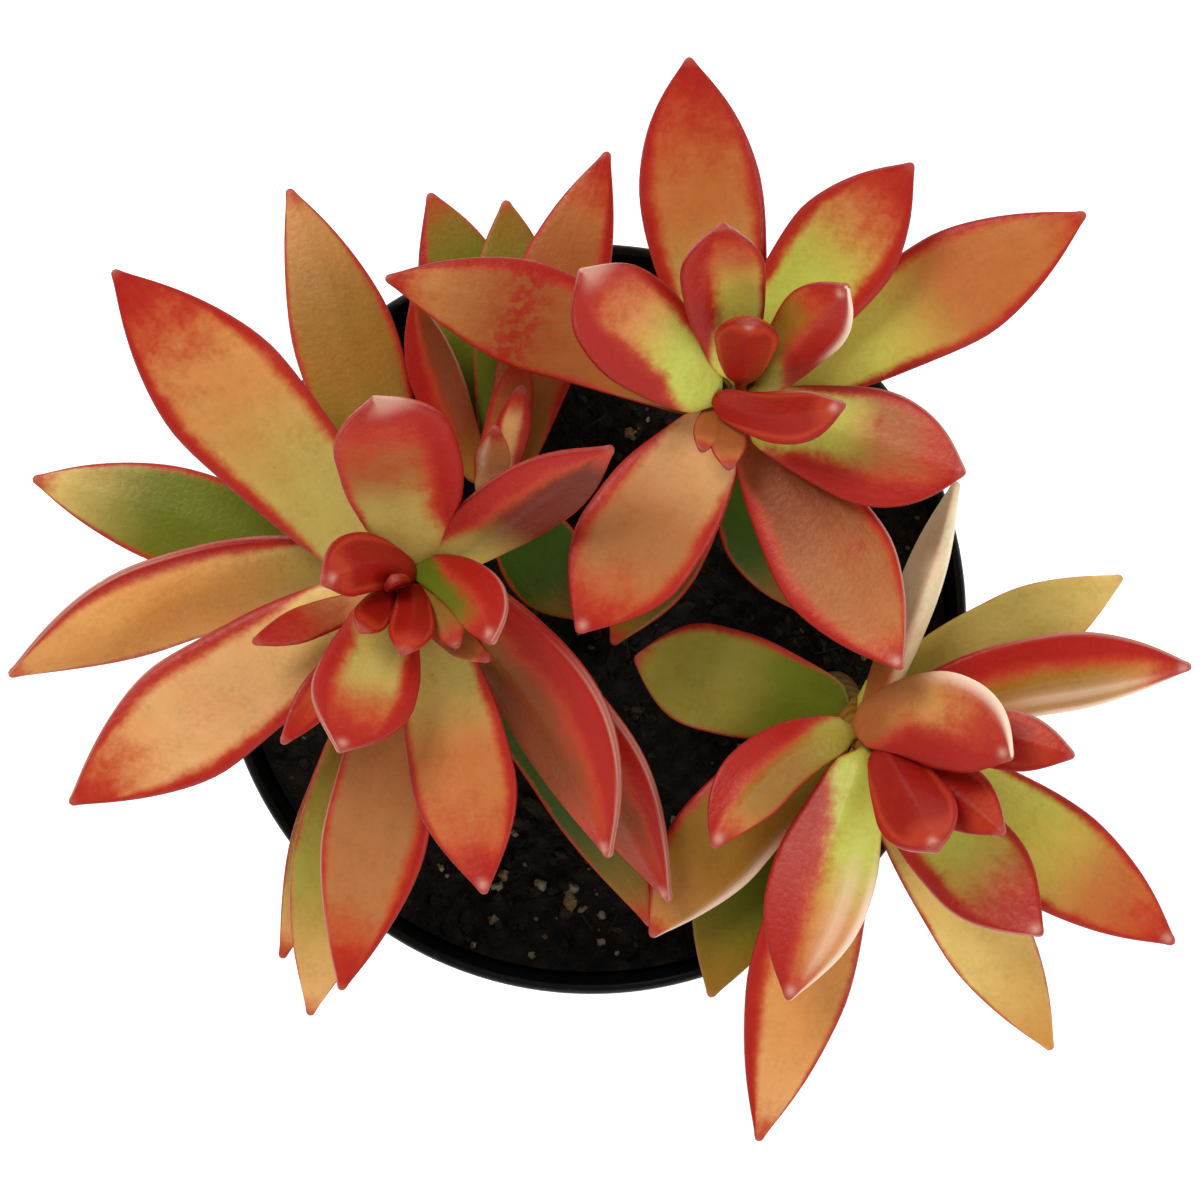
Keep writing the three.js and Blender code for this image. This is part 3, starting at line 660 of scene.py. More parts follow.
def mottle_group():
    """Soft irregular patches of a chosen size, as a mask"""
    group, given, result = new_group("soft_mottle", Scale=200.0, Detail=4.0, Low=0.35, High=0.65)
    pattern = node(group, "ShaderNodeTexNoise", {
        "Vector": given["Vector"], "Scale": given["Scale"], "Detail": given["Detail"], "Roughness": 0.55,
    })
    mask = sloped(group, pattern.outputs["Fac"], given["Low"], given["High"])
    group.links.new(mask, result["Mask"])
    return group


def speckle_group():
    """Small scattered specks, as a mask"""
    group, given, result = new_group("fine_speckle", Scale=600.0, Size=0.15, Share=0.3)
    cells = node(group, "ShaderNodeTexVoronoi", {"Vector": given["Vector"], "Scale": given["Scale"]})
    parts = node(group, "ShaderNodeSeparateColor", {"Color": cells.outputs["Color"]}).outputs
    chosen = maths(group, "LESS_THAN", parts[0], given["Share"])
    size = scaled(group, given["Size"], parts[1])
    near = maths(group, "SUBTRACT", size, cells.outputs["Distance"])
    group.links.new(scaled(group, sloped(group, near, 0.0, 0.06), chosen), result["Mask"])
    return group


def effect(tree, name, inputs):
    """A shared effect placed in a material, with its own values"""
    builders = {"soft_mottle": mottle_group, "fine_speckle": speckle_group}
    group = bpy.data.node_groups.get(name) or builders[name]()
    return node(tree, "ShaderNodeGroup", inputs, node_tree=group).outputs["Mask"]


def mottle(tree, place, scale, low, high, detail=4.0):
    """Soft patches: 0 where the noise is below low, and 1 where it is above high"""
    inputs = {"Vector": place, "Scale": scale, "Detail": detail, "Low": low, "High": high}
    return effect(tree, "soft_mottle", inputs)


def speckle(tree, place, scale, size, amount):
    """Specks of up to a size in an amount of the cells"""
    return effect(tree, "fine_speckle", {"Vector": place, "Scale": scale, "Size": size, "Share": amount})


def new_material(name, **constants):
    """A material, its node tree, and its object coordinates"""
    material = bpy.data.materials.new(name)
    material.use_nodes = True
    tree = material.node_tree
    for label, value in constants.items():
        tree.nodes["Principled BSDF"].inputs[label.replace("_", " ")].default_value = value
    return material, tree, tree.nodes.new("ShaderNodeTexCoord").outputs["Object"]


def feed(tree, **sockets):
    """Feed sockets into a material's shader"""
    for label, socket in sockets.items():
        tree.links.new(socket, tree.nodes["Principled BSDF"].inputs[label.replace("_", " ")])


def bumped(tree, height, strength, distance):
    """A normal that follows a height"""
    sockets = {"Height": height, "Strength": strength, "Distance": distance}
    return node(tree, "ShaderNodeBump", sockets).outputs["Normal"]


# Materials

def leaf_material(settings):
    """Waxy leaf skin: soft ground colour, red margins with uneven inner edges, pale painted highlights"""
    material, tree, place = new_material(
        "waxy_leaf_skin", Roughness=0.34, Specular_IOR_Level=0.32, Specular_Tint=(1, 0.7, 0.58, 1),
        Subsurface_Weight=0.05, Subsurface_Scale=0.001, Subsurface_Radius=(1.0, 0.45, 0.25),
        Coat_Weight=0.04, Coat_Roughness=0.2,
    )
    lengthwise = stretched(tree, attribute(tree, "leaf_place", "Vector"), (1, 0.16, 1))
    broad = mottle(tree, place, 140, 0.3, 0.7)
    mid = mottle(tree, place, 380, 0.28, 0.72)
    fine = mottle(tree, place, 1500, 0.25, 0.75)
    streaks = mottle(tree, lengthwise, 0.9, 0.25, 0.75)
    ground = attribute(tree, "ground", "Color")
    ground = tinted(tree, scaled(tree, broad, 0.55), ground, (1, 0.8, 0.66))
    ground = tinted(tree, scaled(tree, streaks, 0.3), ground, (0.86, 0.96, 0.7))
    ground = tinted(tree, scaled(tree, scaled(tree, mid, fine), 0.8), ground, (0.8, 0.78, 0.7))
    uneven = swung(tree, added(tree, broad, mid), 1.0, 0.25)
    grainy = swung(tree, streaks, 0.5, 0.14)
    dusty = swung(tree, fine, 0.5, 0.16)
    blush = added(tree, attribute(tree, "blush"), uneven, grainy, dusty)
    base = mixed(tree, sloped(tree, blush, -0.65, 0.5), ground, solid(settings.scarlet))
    base = mixed(tree, sloped(tree, blush, 0.0, 0.9), base, solid(settings.crimson))
    base = mixed(tree, scaled(tree, attribute(tree, "rim"), 0.5), base, solid(settings.wine))
    threads = added(tree, scaled(tree, mottle(tree, place, 760, 0.42, 0.56, detail=2), 0.6), 0.25)
    bruise = scaled(tree, attribute(tree, "bruise"), threads)
    base = mixed(tree, bruise, base, solid(settings.crimson))
    # Painted highlights, partly a pale waxy bloom, laid over the rest where the marks are pale
    base = mixed(tree, attribute(tree, "pale"), base, solid(settings.highlight_pearl))
    specks = speckle(tree, place, 500, 0.13, 0.05)
    base = mixed(tree, scaled(tree, specks, 0.55), base, solid(settings.wine))
    gloss = ranged(tree, fine, 0.33, 0.46)
    height = added(tree, scaled(tree, fine, 0.4), scaled(tree, streaks, 0.4))
    feed(tree, Base_Color=base, Roughness=gloss, Normal=bumped(tree, height, 0.2, 0.0004))
    return material


def pot_material(settings):
    """Satin black plastic with fine grain, scuffs and a little dust"""
    material, tree, place = new_material("satin_pot_plastic", Specular_IOR_Level=0.16)
    grain = mottle(tree, place, 1800, 0.2, 0.8)
    smears = mottle(tree, place, 60, 0.52, 0.8)
    scratches = mottle(tree, stretched(tree, place, (1, 1, 0.12)), 900, 0.62, 0.72)
    dust = maths(tree, "MULTIPLY", added(tree, smears, scratches), 0.1, clamp=True)
    base = mixed(tree, dust, solid(settings.plastic), solid(settings.scuff))
    dull = ranged(tree, smears, 0.42, 0.62)
    feed(tree, Base_Color=base, Roughness=dull, Normal=bumped(tree, grain, 0.12, 0.0002))
    return material


def soil_material(settings):
    """Dark crumbly peat whose crumbs each have their own shade"""
    material, tree, place = new_material("dark_potting_soil", Roughness=0.92, Specular_IOR_Level=0.25)
    shade = attribute(tree, "shade")
    patches = mottle(tree, place, 900, 0.3, 0.7)
    amount = scaled(tree, sloped(tree, shade, 0.2, 0.9), 0.8)
    amount = maths(tree, "ADD", amount, scaled(tree, patches, 0.2), clamp=True)
    base = mixed(tree, amount, solid(settings.dark), solid(settings.brown))
    base = mixed(tree, sloped(tree, shade, 0.93, 1.0), base, solid(settings.straw))
    specks = speckle(tree, place, 900, 0.4, 0.06)
    base = mixed(tree, scaled(tree, specks, 0.6), base, solid(settings.straw))
    feed(tree, Base_Color=base, Normal=bumped(tree, patches, 0.6, 0.0006))
    return material


def mineral_material(settings):
    """Rough pale grains, stained here and there by the soil"""
    material, tree, place = new_material("pale_mineral", Roughness=0.85)
    pores = speckle(tree, place, 2600, 0.6, 0.6)
    stains = mottle(tree, place, 500, 0.45, 0.7)
    base = mixed(tree, scaled(tree, stains, 0.7), solid(settings.mineral), solid(settings.brown))
    base = mixed(tree, scaled(tree, pores, 0.35), base, solid(settings.brown))
    unpitted = maths(tree, "SUBTRACT", 1.0, pores)
    feed(tree, Base_Color=base, Normal=bumped(tree, unpitted, 0.6, 0.0003))
    return material


def floor_material(settings):
    """Plain pale studio floor with the faintest unevenness"""
    material, tree, place = new_material(
        "pale_floor", Roughness=0.9, Emission_Strength=settings.glow, Emission_Color=(1, 1, 1, 1)
    )
    tone = mottle(tree, place, 3, 0.2, 0.8)
    base = mixed(tree, scaled(tree, tone, 0.02), solid(settings.floor_colour), (0.8, 0.8, 0.8, 1))
    feed(tree, Base_Color=base)
    return material


# The pot

def pot_profile(pot):
    """The pot's section, from the middle of its underside round to the middle of its floor"""
    band_foot = pot.height - pot.band_height
    lip = pot.wall / 2
    inner_slope = (pot.shoulder_radius - pot.base_radius) / band_foot
    inner_floor = pot.base_radius + inner_slope * pot.floor - pot.wall
    return (
        (pot.base_radius - MM, 0),
        (pot.base_radius, MM),
        (pot.shoulder_radius, band_foot),
        (pot.band_foot_radius, band_foot + 0.4 * MM),
        (pot.rim_radius, pot.height - lip),
        (pot.rim_radius - lip / 2, pot.height),
        (pot.rim_radius - pot.wall, pot.height),
        (pot.band_foot_radius - pot.wall, band_foot + MM),
        (pot.shoulder_radius - pot.wall, band_foot - lip),
        (inner_floor, pot.floor),
    )


class SEDUM_OT_make_pot(bpy.types.Operator):
    """Model the pot: a thin tapered cup with a wider band under its rim and drain holes"""

    bl_idname = "sedum.make_pot"
    bl_label = "Make the pot"

    def execute(self, context):
        pot = context.scene.sedum_pot
        piece = raised_rings(pot_profile(pot), pot.sides)
        turns = [2 * math.pi * i / pot.drain_count for i in range(pot.drain_count)]
        places = [(pot.drain_circle * math.cos(a), pot.drain_circle * math.sin(a)) for a in turns]
        cut_away(piece, upright_bars(places, pot.drain_radius, -MM, pot.floor + MM, DRAIN_SIDES))
        face_outwards(piece)
        apply_modifier(
            piece, "rounding", "BEVEL", width=pot.edge, segments=3, limit_method="ANGLE",
            angle_limit=math.radians(20),
        )
        shade_smooth(piece, degrees=40)
        finish_piece(piece, "plastic_pot", "pot", pot_material(pot))
        return {"FINISHED"}


# The soil and its grains

# Kinds of litter: name, subdivisions, stretch along each axis, roughness and seed. Small crumbs
# are drawn from the first two kinds, larger ones from the first three, and chips from the others.
LITTER_KINDS = (
    ("crumb", 1, (1, 1, 0.8), 0.9, 1),
    ("small_crumb", 1, (1, 0.8, 0.7), 1.1, 5),
    ("lump", 2, (1, 0.9, 0.75), 0.9, 9),
    ("chip", 2, (1.5, 0.7, 0.25), 0.5, 13),
    ("fibre", 1, (3.2, 0.16, 0.16), 0.4, 17),
)


def soil_height(x, y, soil):
    """The height of the soil's lumpy surface at a place, without its fine relief"""
    across = x / MM
    up = y / MM
    wide = math.sin(0.21 * across + 1.3) * math.cos(0.19 * up - 0.4)
    small = math.sin(0.83 * across - 0.6 * up) * math.sin(0.71 * up + 0.34 * across + 2)
    return soil.level + soil.lumps * (0.7 * wide + 0.4 * small)


def soil_relief(x, y, soil):
    """The fine crumbly relief on the soil's surface"""
    place = Vector((x, y, 0)) / MM
    crumbs = 0.5 - noise.voronoi(place * 0.55)[0][0]
    rough = noise.fractal(place * 0.9, 0.8, 2.2, 4)
    return soil.relief * (0.55 * crumbs + 0.35 * rough - 0.1)


def soil_top(x, y, soil):
    """The height of the soil's finished surface at a place"""
    return soil_height(x, y, soil) + soil_relief(x, y, soil)


def soil_edge(pot, soil):
    """The soil's radius at its surface"""
    return pot.band_foot_radius - pot.wall - soil.clearance


def soil_body(pot, soil):
    """The closed block of soil: a fine grid for its surface, with its side and underside"""
    edge = soil_edge(pot, soil)
    side = 2 * edge
    steps = round(side / soil.spacing)
    deselect()
    bpy.ops.mesh.primitive_grid_add(x_subdivisions=steps, y_subdivisions=steps, size=side)
    piece = bpy.context.object
    bpy.ops.object.mode_set(mode="EDIT")
    grid = bmesh.from_edit_mesh(piece.data)
    outside = [v for v in grid.verts if v.co.length > edge]
    bmesh.ops.delete(grid, geom=outside, context="VERTS")
    bmesh.update_edit_mesh(piece.data)
    bpy.ops.mesh.select_all(action="DESELECT")
    bpy.ops.mesh.select_non_manifold()
    for point in grid.verts:
        if point.select:
            point.co *= edge / point.co.length
        point.co.z = soil_height(point.co.x, point.co.y, soil)
    bmesh.update_edit_mesh(piece.data)
    low = pot.floor + soil.clearance
    slope = (pot.shoulder_radius - pot.base_radius) / (pot.height - pot.band_height)
    foot = pot.base_radius + slope * low - pot.wall - soil.clearance
    below_band = (edge - STEP_IN, soil.shelf - STEP_DOWN)
    for radius, height in ((edge, soil.shelf), below_band, (foot, low)):
        bpy.ops.mesh.extrude_region_move()
        for point in grid.verts:
            if point.select:
                flat = point.co.xy.normalized() * radius
                point.co = (flat.x, flat.y, height)
        bmesh.update_edit_mesh(piece.data)
    bpy.ops.mesh.edge_face_add()
    bpy.ops.object.mode_set(mode="OBJECT")
    return piece


def crumb_template(name, subdivisions, stretch, roughness, seed):
    """One loose crumb about a unit in radius, which is copied many times"""
    deselect()
    bpy.ops.mesh.primitive_ico_sphere_add(subdivisions=subdivisions, radius=1)
    crumb = bpy.context.object
    crumb.name = name
    shift = Vector((seed, 2.7 * seed, -seed))
    for point in crumb.data.vertices:
        swell = 1 + roughness * noise.noise(point.co * 1.7 + shift)
        point.co = Vector(a * b for a, b in zip(point.co * swell, stretch))
    return crumb


def on_soil(draw, pot, soil, margin):
    """A random place on the soil, clear of the stems"""
    edge = soil_edge(pot, soil) - margin
    feet = [stem["foot"] for stem in LEAFY_STEMS.values()]
    while True:
        radius = edge * math.sqrt(draw.random())
        turn = draw.uniform(0, 2 * math.pi)
        x = radius * math.cos(turn)
        y = radius * math.sin(turn)
        if all(math.hypot(x - fx * MM, y - fy * MM) > STEM_CLEARANCE for fx, fy in feet):
            return x, y, soil_top(x, y, soil)


def any_turn(draw):
    """A random rotation"""
    return Euler([draw.uniform(0, 2 * math.pi) for _ in range(3)]).to_matrix().to_4x4()


def soil_litter(pot, soil):
    """The loose crumbs, chips and fibres on the soil's surface"""
    draw = random.Random(LITTER_SEED)
    places = []
    for _ in range(soil.crumbs):
        size = MM * (0.22 + 0.75 * draw.random() ** 2.2)
        matrix = placed(on_soil(draw, pot, soil, size), any_turn(draw), size)
        places.append((draw.randrange(3 if size > 0.6 * MM else 2), matrix, draw.random()))
    for _ in range(soil.chips):
        size = MM * draw.uniform(0.5, 1.3)
        place = on_soil(draw, pot, soil, 2.5 * size)
        tilt = Euler((draw.gauss(0, 0.35), draw.gauss(0, 0.35), draw.uniform(0, 2 * math.pi)))
        matrix = placed(place, tilt.to_matrix().to_4x4(), size)
        places.append((draw.randrange(3, 5), matrix, draw.uniform(0.3, 1)))
    return scattered([crumb_template(*kind) for kind in LITTER_KINDS], places)


class SEDUM_OT_make_soil(bpy.types.Operator):
    """Model the soil: a crumbly surface with loose litter, and a plain hole for each stem"""

    bl_idname = "sedum.make_soil"
    bl_label = "Make the soil"

    def execute(self, context):
        pot = context.scene.sedum_pot
        soil = context.scene.sedum_soil
        leaves = context.scene.sedum_leaves
        body = soil_body(pot, soil)
        feet = [(x * MM, y * MM) for x, y in (stem["foot"] for stem in LEAFY_STEMS.values())]
        hole = leaves.stem_radius + soil.clearance
        low = leaves.stem_foot - soil.clearance
        cut_away(body, upright_bars(feet, hole, low, pot.height, HOLE_SIDES))
        face_outwards(body)
        places = points_of(body.data)
        edge = soil_edge(pot, soil)
        for point in places:
            if point[2] > soil.level - 2 * MM:
                rim = smooth_step(math.hypot(point[0], point[1]), edge, edge - MM)
                point[2] += rim * soil_relief(point[0], point[1], soil)
        place_points(body.data, places)
        shade = 0.3 + 0.3 * np.sin(places[:, 0] / MM * 1.3) * np.sin(places[:, 1] / MM * 1.7)
        paint(body.data, "shade", shade)
        piece = joined([body, soil_litter(pot, soil)], "potting_soil")
        shade_smooth(piece, degrees=60)
        finish_piece(piece, "potting_soil", "soil", soil_material(soil))
        return {"FINISHED"}


class SEDUM_OT_make_grains(bpy.types.Operator):
    """Model the pale mineral grains that lie in the soil's surface"""

    bl_idname = "sedum.make_grains"
    bl_label = "Make the mineral grains"

    def execute(self, context):
        pot = context.scene.sedum_pot
        soil = context.scene.sedum_soil
        templates = [
            crumb_template(f"grain_{i}", 2, (1, 0.85, 0.75), 0.8, 3 * i + 2) for i in range(GRAIN_KINDS)
        ]
        draw = random.Random(GRAIN_SEED)
        places = []
        for x, y, radius in GRAINS:
            z = soil_top(x * MM, y * MM, soil) + 0.15 * radius * MM
            matrix = placed((x * MM, y * MM, z), any_turn(draw), 0.8 * radius * MM)
            places.append((draw.randrange(GRAIN_KINDS), matrix, draw.random()))
        for _ in range(soil.fine_grains):
            radius = MM * draw.uniform(0.12, 0.4)
            matrix = placed(on_soil(draw, pot, soil, radius), any_turn(draw), radius)
            places.append((draw.randrange(GRAIN_KINDS), matrix, draw.random()))
        piece = scattered(templates, places)
        shade_smooth(piece, degrees=60)
        finish_piece(piece, "mineral_grains", None, mineral_material(soil))
        return {"FINISHED"}


# The leafy stems

# Where a leaf is thickest, as a share of its length, how thick its root is, as a share of its
# full thickness, how steeply it thins towards its tip, and how close its rings stand there
THICKEST_AT = 0.45
ROOT_THICKNESS = 0.82
THINNING = 2.4
TIP_CROWDING = 1.6

# How many rows of old leaf scars a bare stem has
SCAR_ROWS = 9

# How a leaf's colours are laid: where its root's colour fades, past the length that its row
# gives, where its outer colour comes in, how much of its back's colour shows, how its brightness
# varies, and how many millimetres the dark line along a red margin reaches
ROOT_FADE = (-0.2, 0.15)
OUTER_PART = (0.62, 1.02)
BACK_SHARE = 0.85
BRIGHTNESS = (0.94, 1.05)
RIM_REACH = 0.22

# How pale each mark is, as painted highlight that is partly a pale waxy bloom, and how far from
# the margin a shine and a gloss reach
HIGHLIGHT_AND_BLOOM = {"tip_glint": 0.06, "dot": 0.34, "line": 0.3, "sheen": 0.42, "edge": 0.9, "tip": 0.36}
EDGE_REACH = {"shine": 0.24, "gloss": 0.36}


def unit(vectors):
    """The direction of a vector, or of each row of vectors"""
    return vectors / np.linalg.norm(vectors, axis=-1, keepdims=True)


def bezier(start, bend, end, share_along):
    """Points of a curve with one bend, and its direction at each"""
    t = share_along[:, None]
    places = (1 - t) ** 2 * start + 2 * (1 - t) * t * bend + t ** 2 * end
    return places, unit((1 - t) * (bend - start) + t * (end - bend))


def quarter_wave(values):
    """A rise from 0 at 0 to 1 at 1, level after that"""
    return np.sin(0.5 * np.pi * np.minimum(1, values))


def peak(values, middle, reach):
    """1 at the middle, falling softly to 0 on both sides"""
    return np.exp(-((values - middle) / reach) ** 2)


def blended(first, second, amount):
    """Rows of colours between two, with an amount for each row"""
    return first + (second - first) * amount[:, None]


def width_share(t, taper, sizes):
    """How wide a leaf is at t along it, as a share of its full width"""
    rounding = np.sqrt(quarter_wave((t + 0.01) / 0.08))
    swell = quarter_wave(t / sizes.widest_at)
    lower = (sizes.root_width + (1 - sizes.root_width) * swell) * rounding
    upper = 1 - np.maximum(0, (t - sizes.widest_at) / (1 - sizes.widest_at)) ** taper
    return np.where(t < sizes.widest_at, lower, upper)


def thickness_share(t):
    """How thick a leaf is at t along it, as a share of its full thickness"""
    lower = ROOT_THICKNESS + (1 - ROOT_THICKNESS) * quarter_wave(t / THICKEST_AT)
    upper = 1 - np.maximum(0, (t - THICKEST_AT) / (1 - THICKEST_AT)) ** THINNING
    return np.where(t < THICKEST_AT, lower, upper)


def ringed_ball(segments, rings):
    """A sphere that will be drawn out along a line, the number of each point's ring from the
    upper pole, and each point's angle round its ring"""
    deselect()
    bpy.ops.mesh.primitive_uv_sphere_add(segments=segments, ring_count=rings, radius=1)
    piece = bpy.context.object
    ball = points_of(piece.data)
    ring = np.rint(rings * np.arccos(np.clip(ball[:, 2], -1, 1)) / np.pi)
    return piece, ring, np.arctan2(ball[:, 1], ball[:, 0])


def paint_skin(mesh, ground, place, **masks):
    """Give a leaf's or a stem's points what the leaf material reads"""
    paint(mesh, "ground", np.column_stack((ground, np.ones(len(ground)))), "FLOAT_COLOR")
    for name, values in masks.items():
        paint(mesh, name, values)
    paint(mesh, "leaf_place", place, "FLOAT_VECTOR")


def blush_field(leaf, along, across, under):
    """How red a leaf is: 1 at its reddest margin or tip, 0 where the red ends, and less inside"""
    spread = smooth_step(along, 0, 0.36) * (1 - 0.6 * under)
    bands = [(leaf.end - 1 + along) / (0.04 + 0.85 * leaf.end)]
    for margin, from_edge in ((leaf.left, (1 + across) / 2), (leaf.right, (1 - across) / 2)):
        bands.append((margin * spread - from_edge) / (0.05 + 0.4 * margin))
    return np.clip(np.maximum.reduce(bands), -1, 1)


def tip_nib(from_tip, radius):
    """The radius of the small rounded end of a leaf, at a distance from its tip"""
    return radius * np.sqrt(1 - np.clip(1 - from_tip / radius, 0, 1) ** 2)


def leaf_axes(leaf):
    """A leaf's root, the bend of its midrib, its tip, and the way that its face looks"""
    root = np.array(leaf.root, float)
    tip = np.array(leaf.tip, float)
    chord = unit(tip - root)
    up = unit(np.array((0, 0, 1.0)) - chord * chord[2])
    roll = math.radians(leaf.roll)
    face = up * math.cos(roll) + np.cross(chord, up) * math.sin(roll)
    right = np.cross(chord, face)
    bend = (root + tip) / 2 + 2 * leaf.arch * face + 2 * leaf.sway * right
    return root, bend, tip, face


def margin_waver(along, draw):
    """How a leaf's margins wander in and out, about 1"""
    slow = 0.015 * np.sin(9 * along + draw.uniform(0, 6))
    quick = 0.01 * np.sin(17 * along + draw.uniform(0, 6))
    return 1 + slow + quick


def leaf_relief(leaf, sizes, along, across, rise, depth):
    """How far each point of a leaf lies above its midrib's line"""
    above = sizes.upper_share * depth * np.maximum(rise, 0) ** 0.85
    below = (1 - sizes.upper_share) * depth * np.maximum(-rise, 0)
    swell = np.sin(np.pi * along) ** 0.7
    lift = sizes.cup * leaf.width * across ** 2 * swell
    ridge = leaf.fold * leaf.width * (1 - np.abs(across)) ** 1.4 * swell * np.sqrt(np.maximum(rise, 0))
    return above - below + lift + ridge


def leaf_piece(leaf, anchor, sizes, seed):
    """One leaf: nearly flat on its face, keeled below, with its margins lifted a little"""
    draw = random.Random(seed)
    piece, ring, angle = ringed_ball(sizes.segments, sizes.rings + 1)
    along = 1 - (1 - np.clip((ring - 1) / sizes.rings, 0, 1)) ** TIP_CROWDING
    across = np.cos(angle)
    rise = np.sin(angle)
    root, bend, tip, face = leaf_axes(leaf)
    middle, ways = bezier(root, bend, tip, along)
    normal = unit(face - ways * (ways @ face)[:, None])
    side = np.cross(ways, normal)
    nib = tip_nib((1 - along) * math.dist(leaf.root, leaf.tip), sizes.nib / MM)
    half = 0.5 * leaf.width * width_share(along, leaf.taper, sizes) * margin_waver(along, draw)
    half = np.hypot(half, nib)
    depth = np.hypot(sizes.thickness * leaf.width * thickness_share(along), 2 * nib)
    relief = leaf_relief(leaf, sizes, along, across, rise, depth)
    places = middle + side * (half * across)[:, None] + normal * relief[:, None]
    places[ring == 0] = anchor
    places[ring == sizes.rings + 1] = tip
    place_points(piece.data, places * MM)
    paint_leaf(piece.data, leaf, along, across, rise, half, draw)
    return piece


def highlight_and_bloom_marks(leaf, along, across, half, from_tip):
    """How pale a leaf's painted highlights, partly a pale waxy bloom, are at each point"""
    inside = half * (1 - np.abs(across))
    # A faint painted highlight on every tip, then the painted highlights that the leaf's marks name
    highlights_and_bloom = [HIGHLIGHT_AND_BLOOM["tip_glint"] * smooth_step(from_tip, 1.2, 0.4)]
    if "dot" in leaf.marks:
        highlights_and_bloom.append(HIGHLIGHT_AND_BLOOM["dot"] * peak(from_tip, 1, 0.55) * peak(half * across, 0, 0.55))
    for name, edge in (("left", 1 + across), ("right", 1 - across)):
        if f"{name} line" in leaf.marks:
            outer = smooth_step(edge, 0.9, 0.6) * smooth_step(along, 0.3, 0.7)
            highlights_and_bloom.append(HIGHLIGHT_AND_BLOOM["line"] * peak(inside, 0.1, 0.1) * outer)
        if f"{name} glaze" in leaf.marks:
            window = smooth_step(along, 0.3, 0.55) * smooth_step(along, 0.95, 0.8)
            highlights_and_bloom.append(HIGHLIGHT_AND_BLOOM["sheen"] * peak(edge, 0.5, 0.16) * window)
        for mark, reach in EDGE_REACH.items():
            if f"{name} {mark}" in leaf.marks:
                highlights_and_bloom.append(HIGHLIGHT_AND_BLOOM["edge"] * smooth_step(edge, reach, 0.03) * smooth_step(along, 0.3, 0.6))
    if "tip shine" in leaf.marks:
        highlights_and_bloom.append(HIGHLIGHT_AND_BLOOM["tip"] * smooth_step(along, 0.86, 0.97) * smooth_step(across, -0.8, 0.3))
    return np.maximum.reduce(highlights_and_bloom)


def paint_leaf(mesh, leaf, along, across, rise, half, draw):
    """Give a leaf's points what its material reads"""
    colours = bpy.context.scene.sedum_leaves
    root, middle, outer, back = [np.array(getattr(colours, name)) for name in TONES[leaf.tone]]
    under = smooth_step(-rise, 0.0, 0.3)
    fade_start, fade_end = ROOT_FADE
    from_root = smooth_step(along, leaf.fresh + fade_start, leaf.fresh + fade_end)
    ground = blended(root, middle, from_root)
    ground = blended(ground, outer, smooth_step(along, *OUTER_PART))
    ground = blended(ground, back, BACK_SHARE * under)
    ground = np.clip(ground * draw.uniform(*BRIGHTNESS), 0, 1)
    blush = blush_field(leaf, along, across, under)
    inside = half * (1 - np.abs(across))
    rim = np.exp(-inside / RIM_REACH) * smooth_step(along, 0.05, 0.2) * smooth_step(blush, -0.1, 0.4)
    bruise = np.zeros(len(along))
    if "bruise" in leaf.marks:
        bruise = peak(along, 0.6, 0.07)
    if "scar" in leaf.marks:
        bruise = peak(along - 0.1 * across, 0.62, 0.02) * peak(across, -0.4, 0.22)
    size = math.dist(leaf.root, leaf.tip)
    pale = highlight_and_bloom_marks(leaf, along, across, half, (1 - along) * size)
    place = np.column_stack((half * across, size * along, np.full(len(along), draw.uniform(0, 900))))
    paint_skin(mesh, ground, place, blush=blush, rim=rim, bruise=bruise, pale=pale)


def stem_line(stem, soil, t):
    """The places at shares t along the middle line of a stem above the soil"""
    foot = np.array((*stem["foot"], (soil.level + MM) / MM))
    places, _ = bezier(foot, np.array(stem["bend"], float), np.array(stem["crown"], float), t)
    return places


def stem_piece(stem, soil, sizes):
    """The bare stem: straight up through the soil, then along its bend, with old leaf scars"""
    last_ring = STEM_STEPS + 3
    piece, ring, angle = ringed_ball(STEM_SIDES, last_ring)
    t = np.clip((ring - 2) / STEM_STEPS, 0, 1)
    middle = stem_line(stem, soil, t)
    middle[ring < 2, 2] = sizes.stem_foot / MM
    radius = (sizes.stem_radius + (sizes.crown_radius - sizes.stem_radius) * t) / MM
    scars = np.abs(np.sin(SCAR_ROWS * np.pi * t + 0.9 * np.sin(angle + 5 * t))) ** 6
    radius = radius * (1 + np.where(ring > 2, 0.1 * scars - 0.02, 0))
    radius[(ring == 0) | (ring == last_ring)] = 0
    middle[:, 0] += radius * np.cos(angle)
    middle[:, 1] += radius * np.sin(angle)
    place_points(piece.data, middle * MM)
    ground = blended(np.array(sizes.bark), np.array(sizes.olive), smooth_step(t, 0.1, 0.8))
    ground *= (1 - 0.35 * scars)[:, None]
    none = np.zeros(len(t))
    place = np.column_stack((radius * angle, 30 * t, none))
    paint_skin(piece.data, ground, place, blush=none - 1, rim=0.4 * scars, bruise=none, pale=none)
    return piece


def anchor_of(leaf, stem, soil):
    """The place on the stem's middle line where a leaf is rooted"""
    places = stem_line(stem, soil, np.linspace(0, 1, ANCHOR_STEPS + 1)[:-1])
    return places[np.argmin(np.linalg.norm(places - np.array(leaf.root), axis=1))]


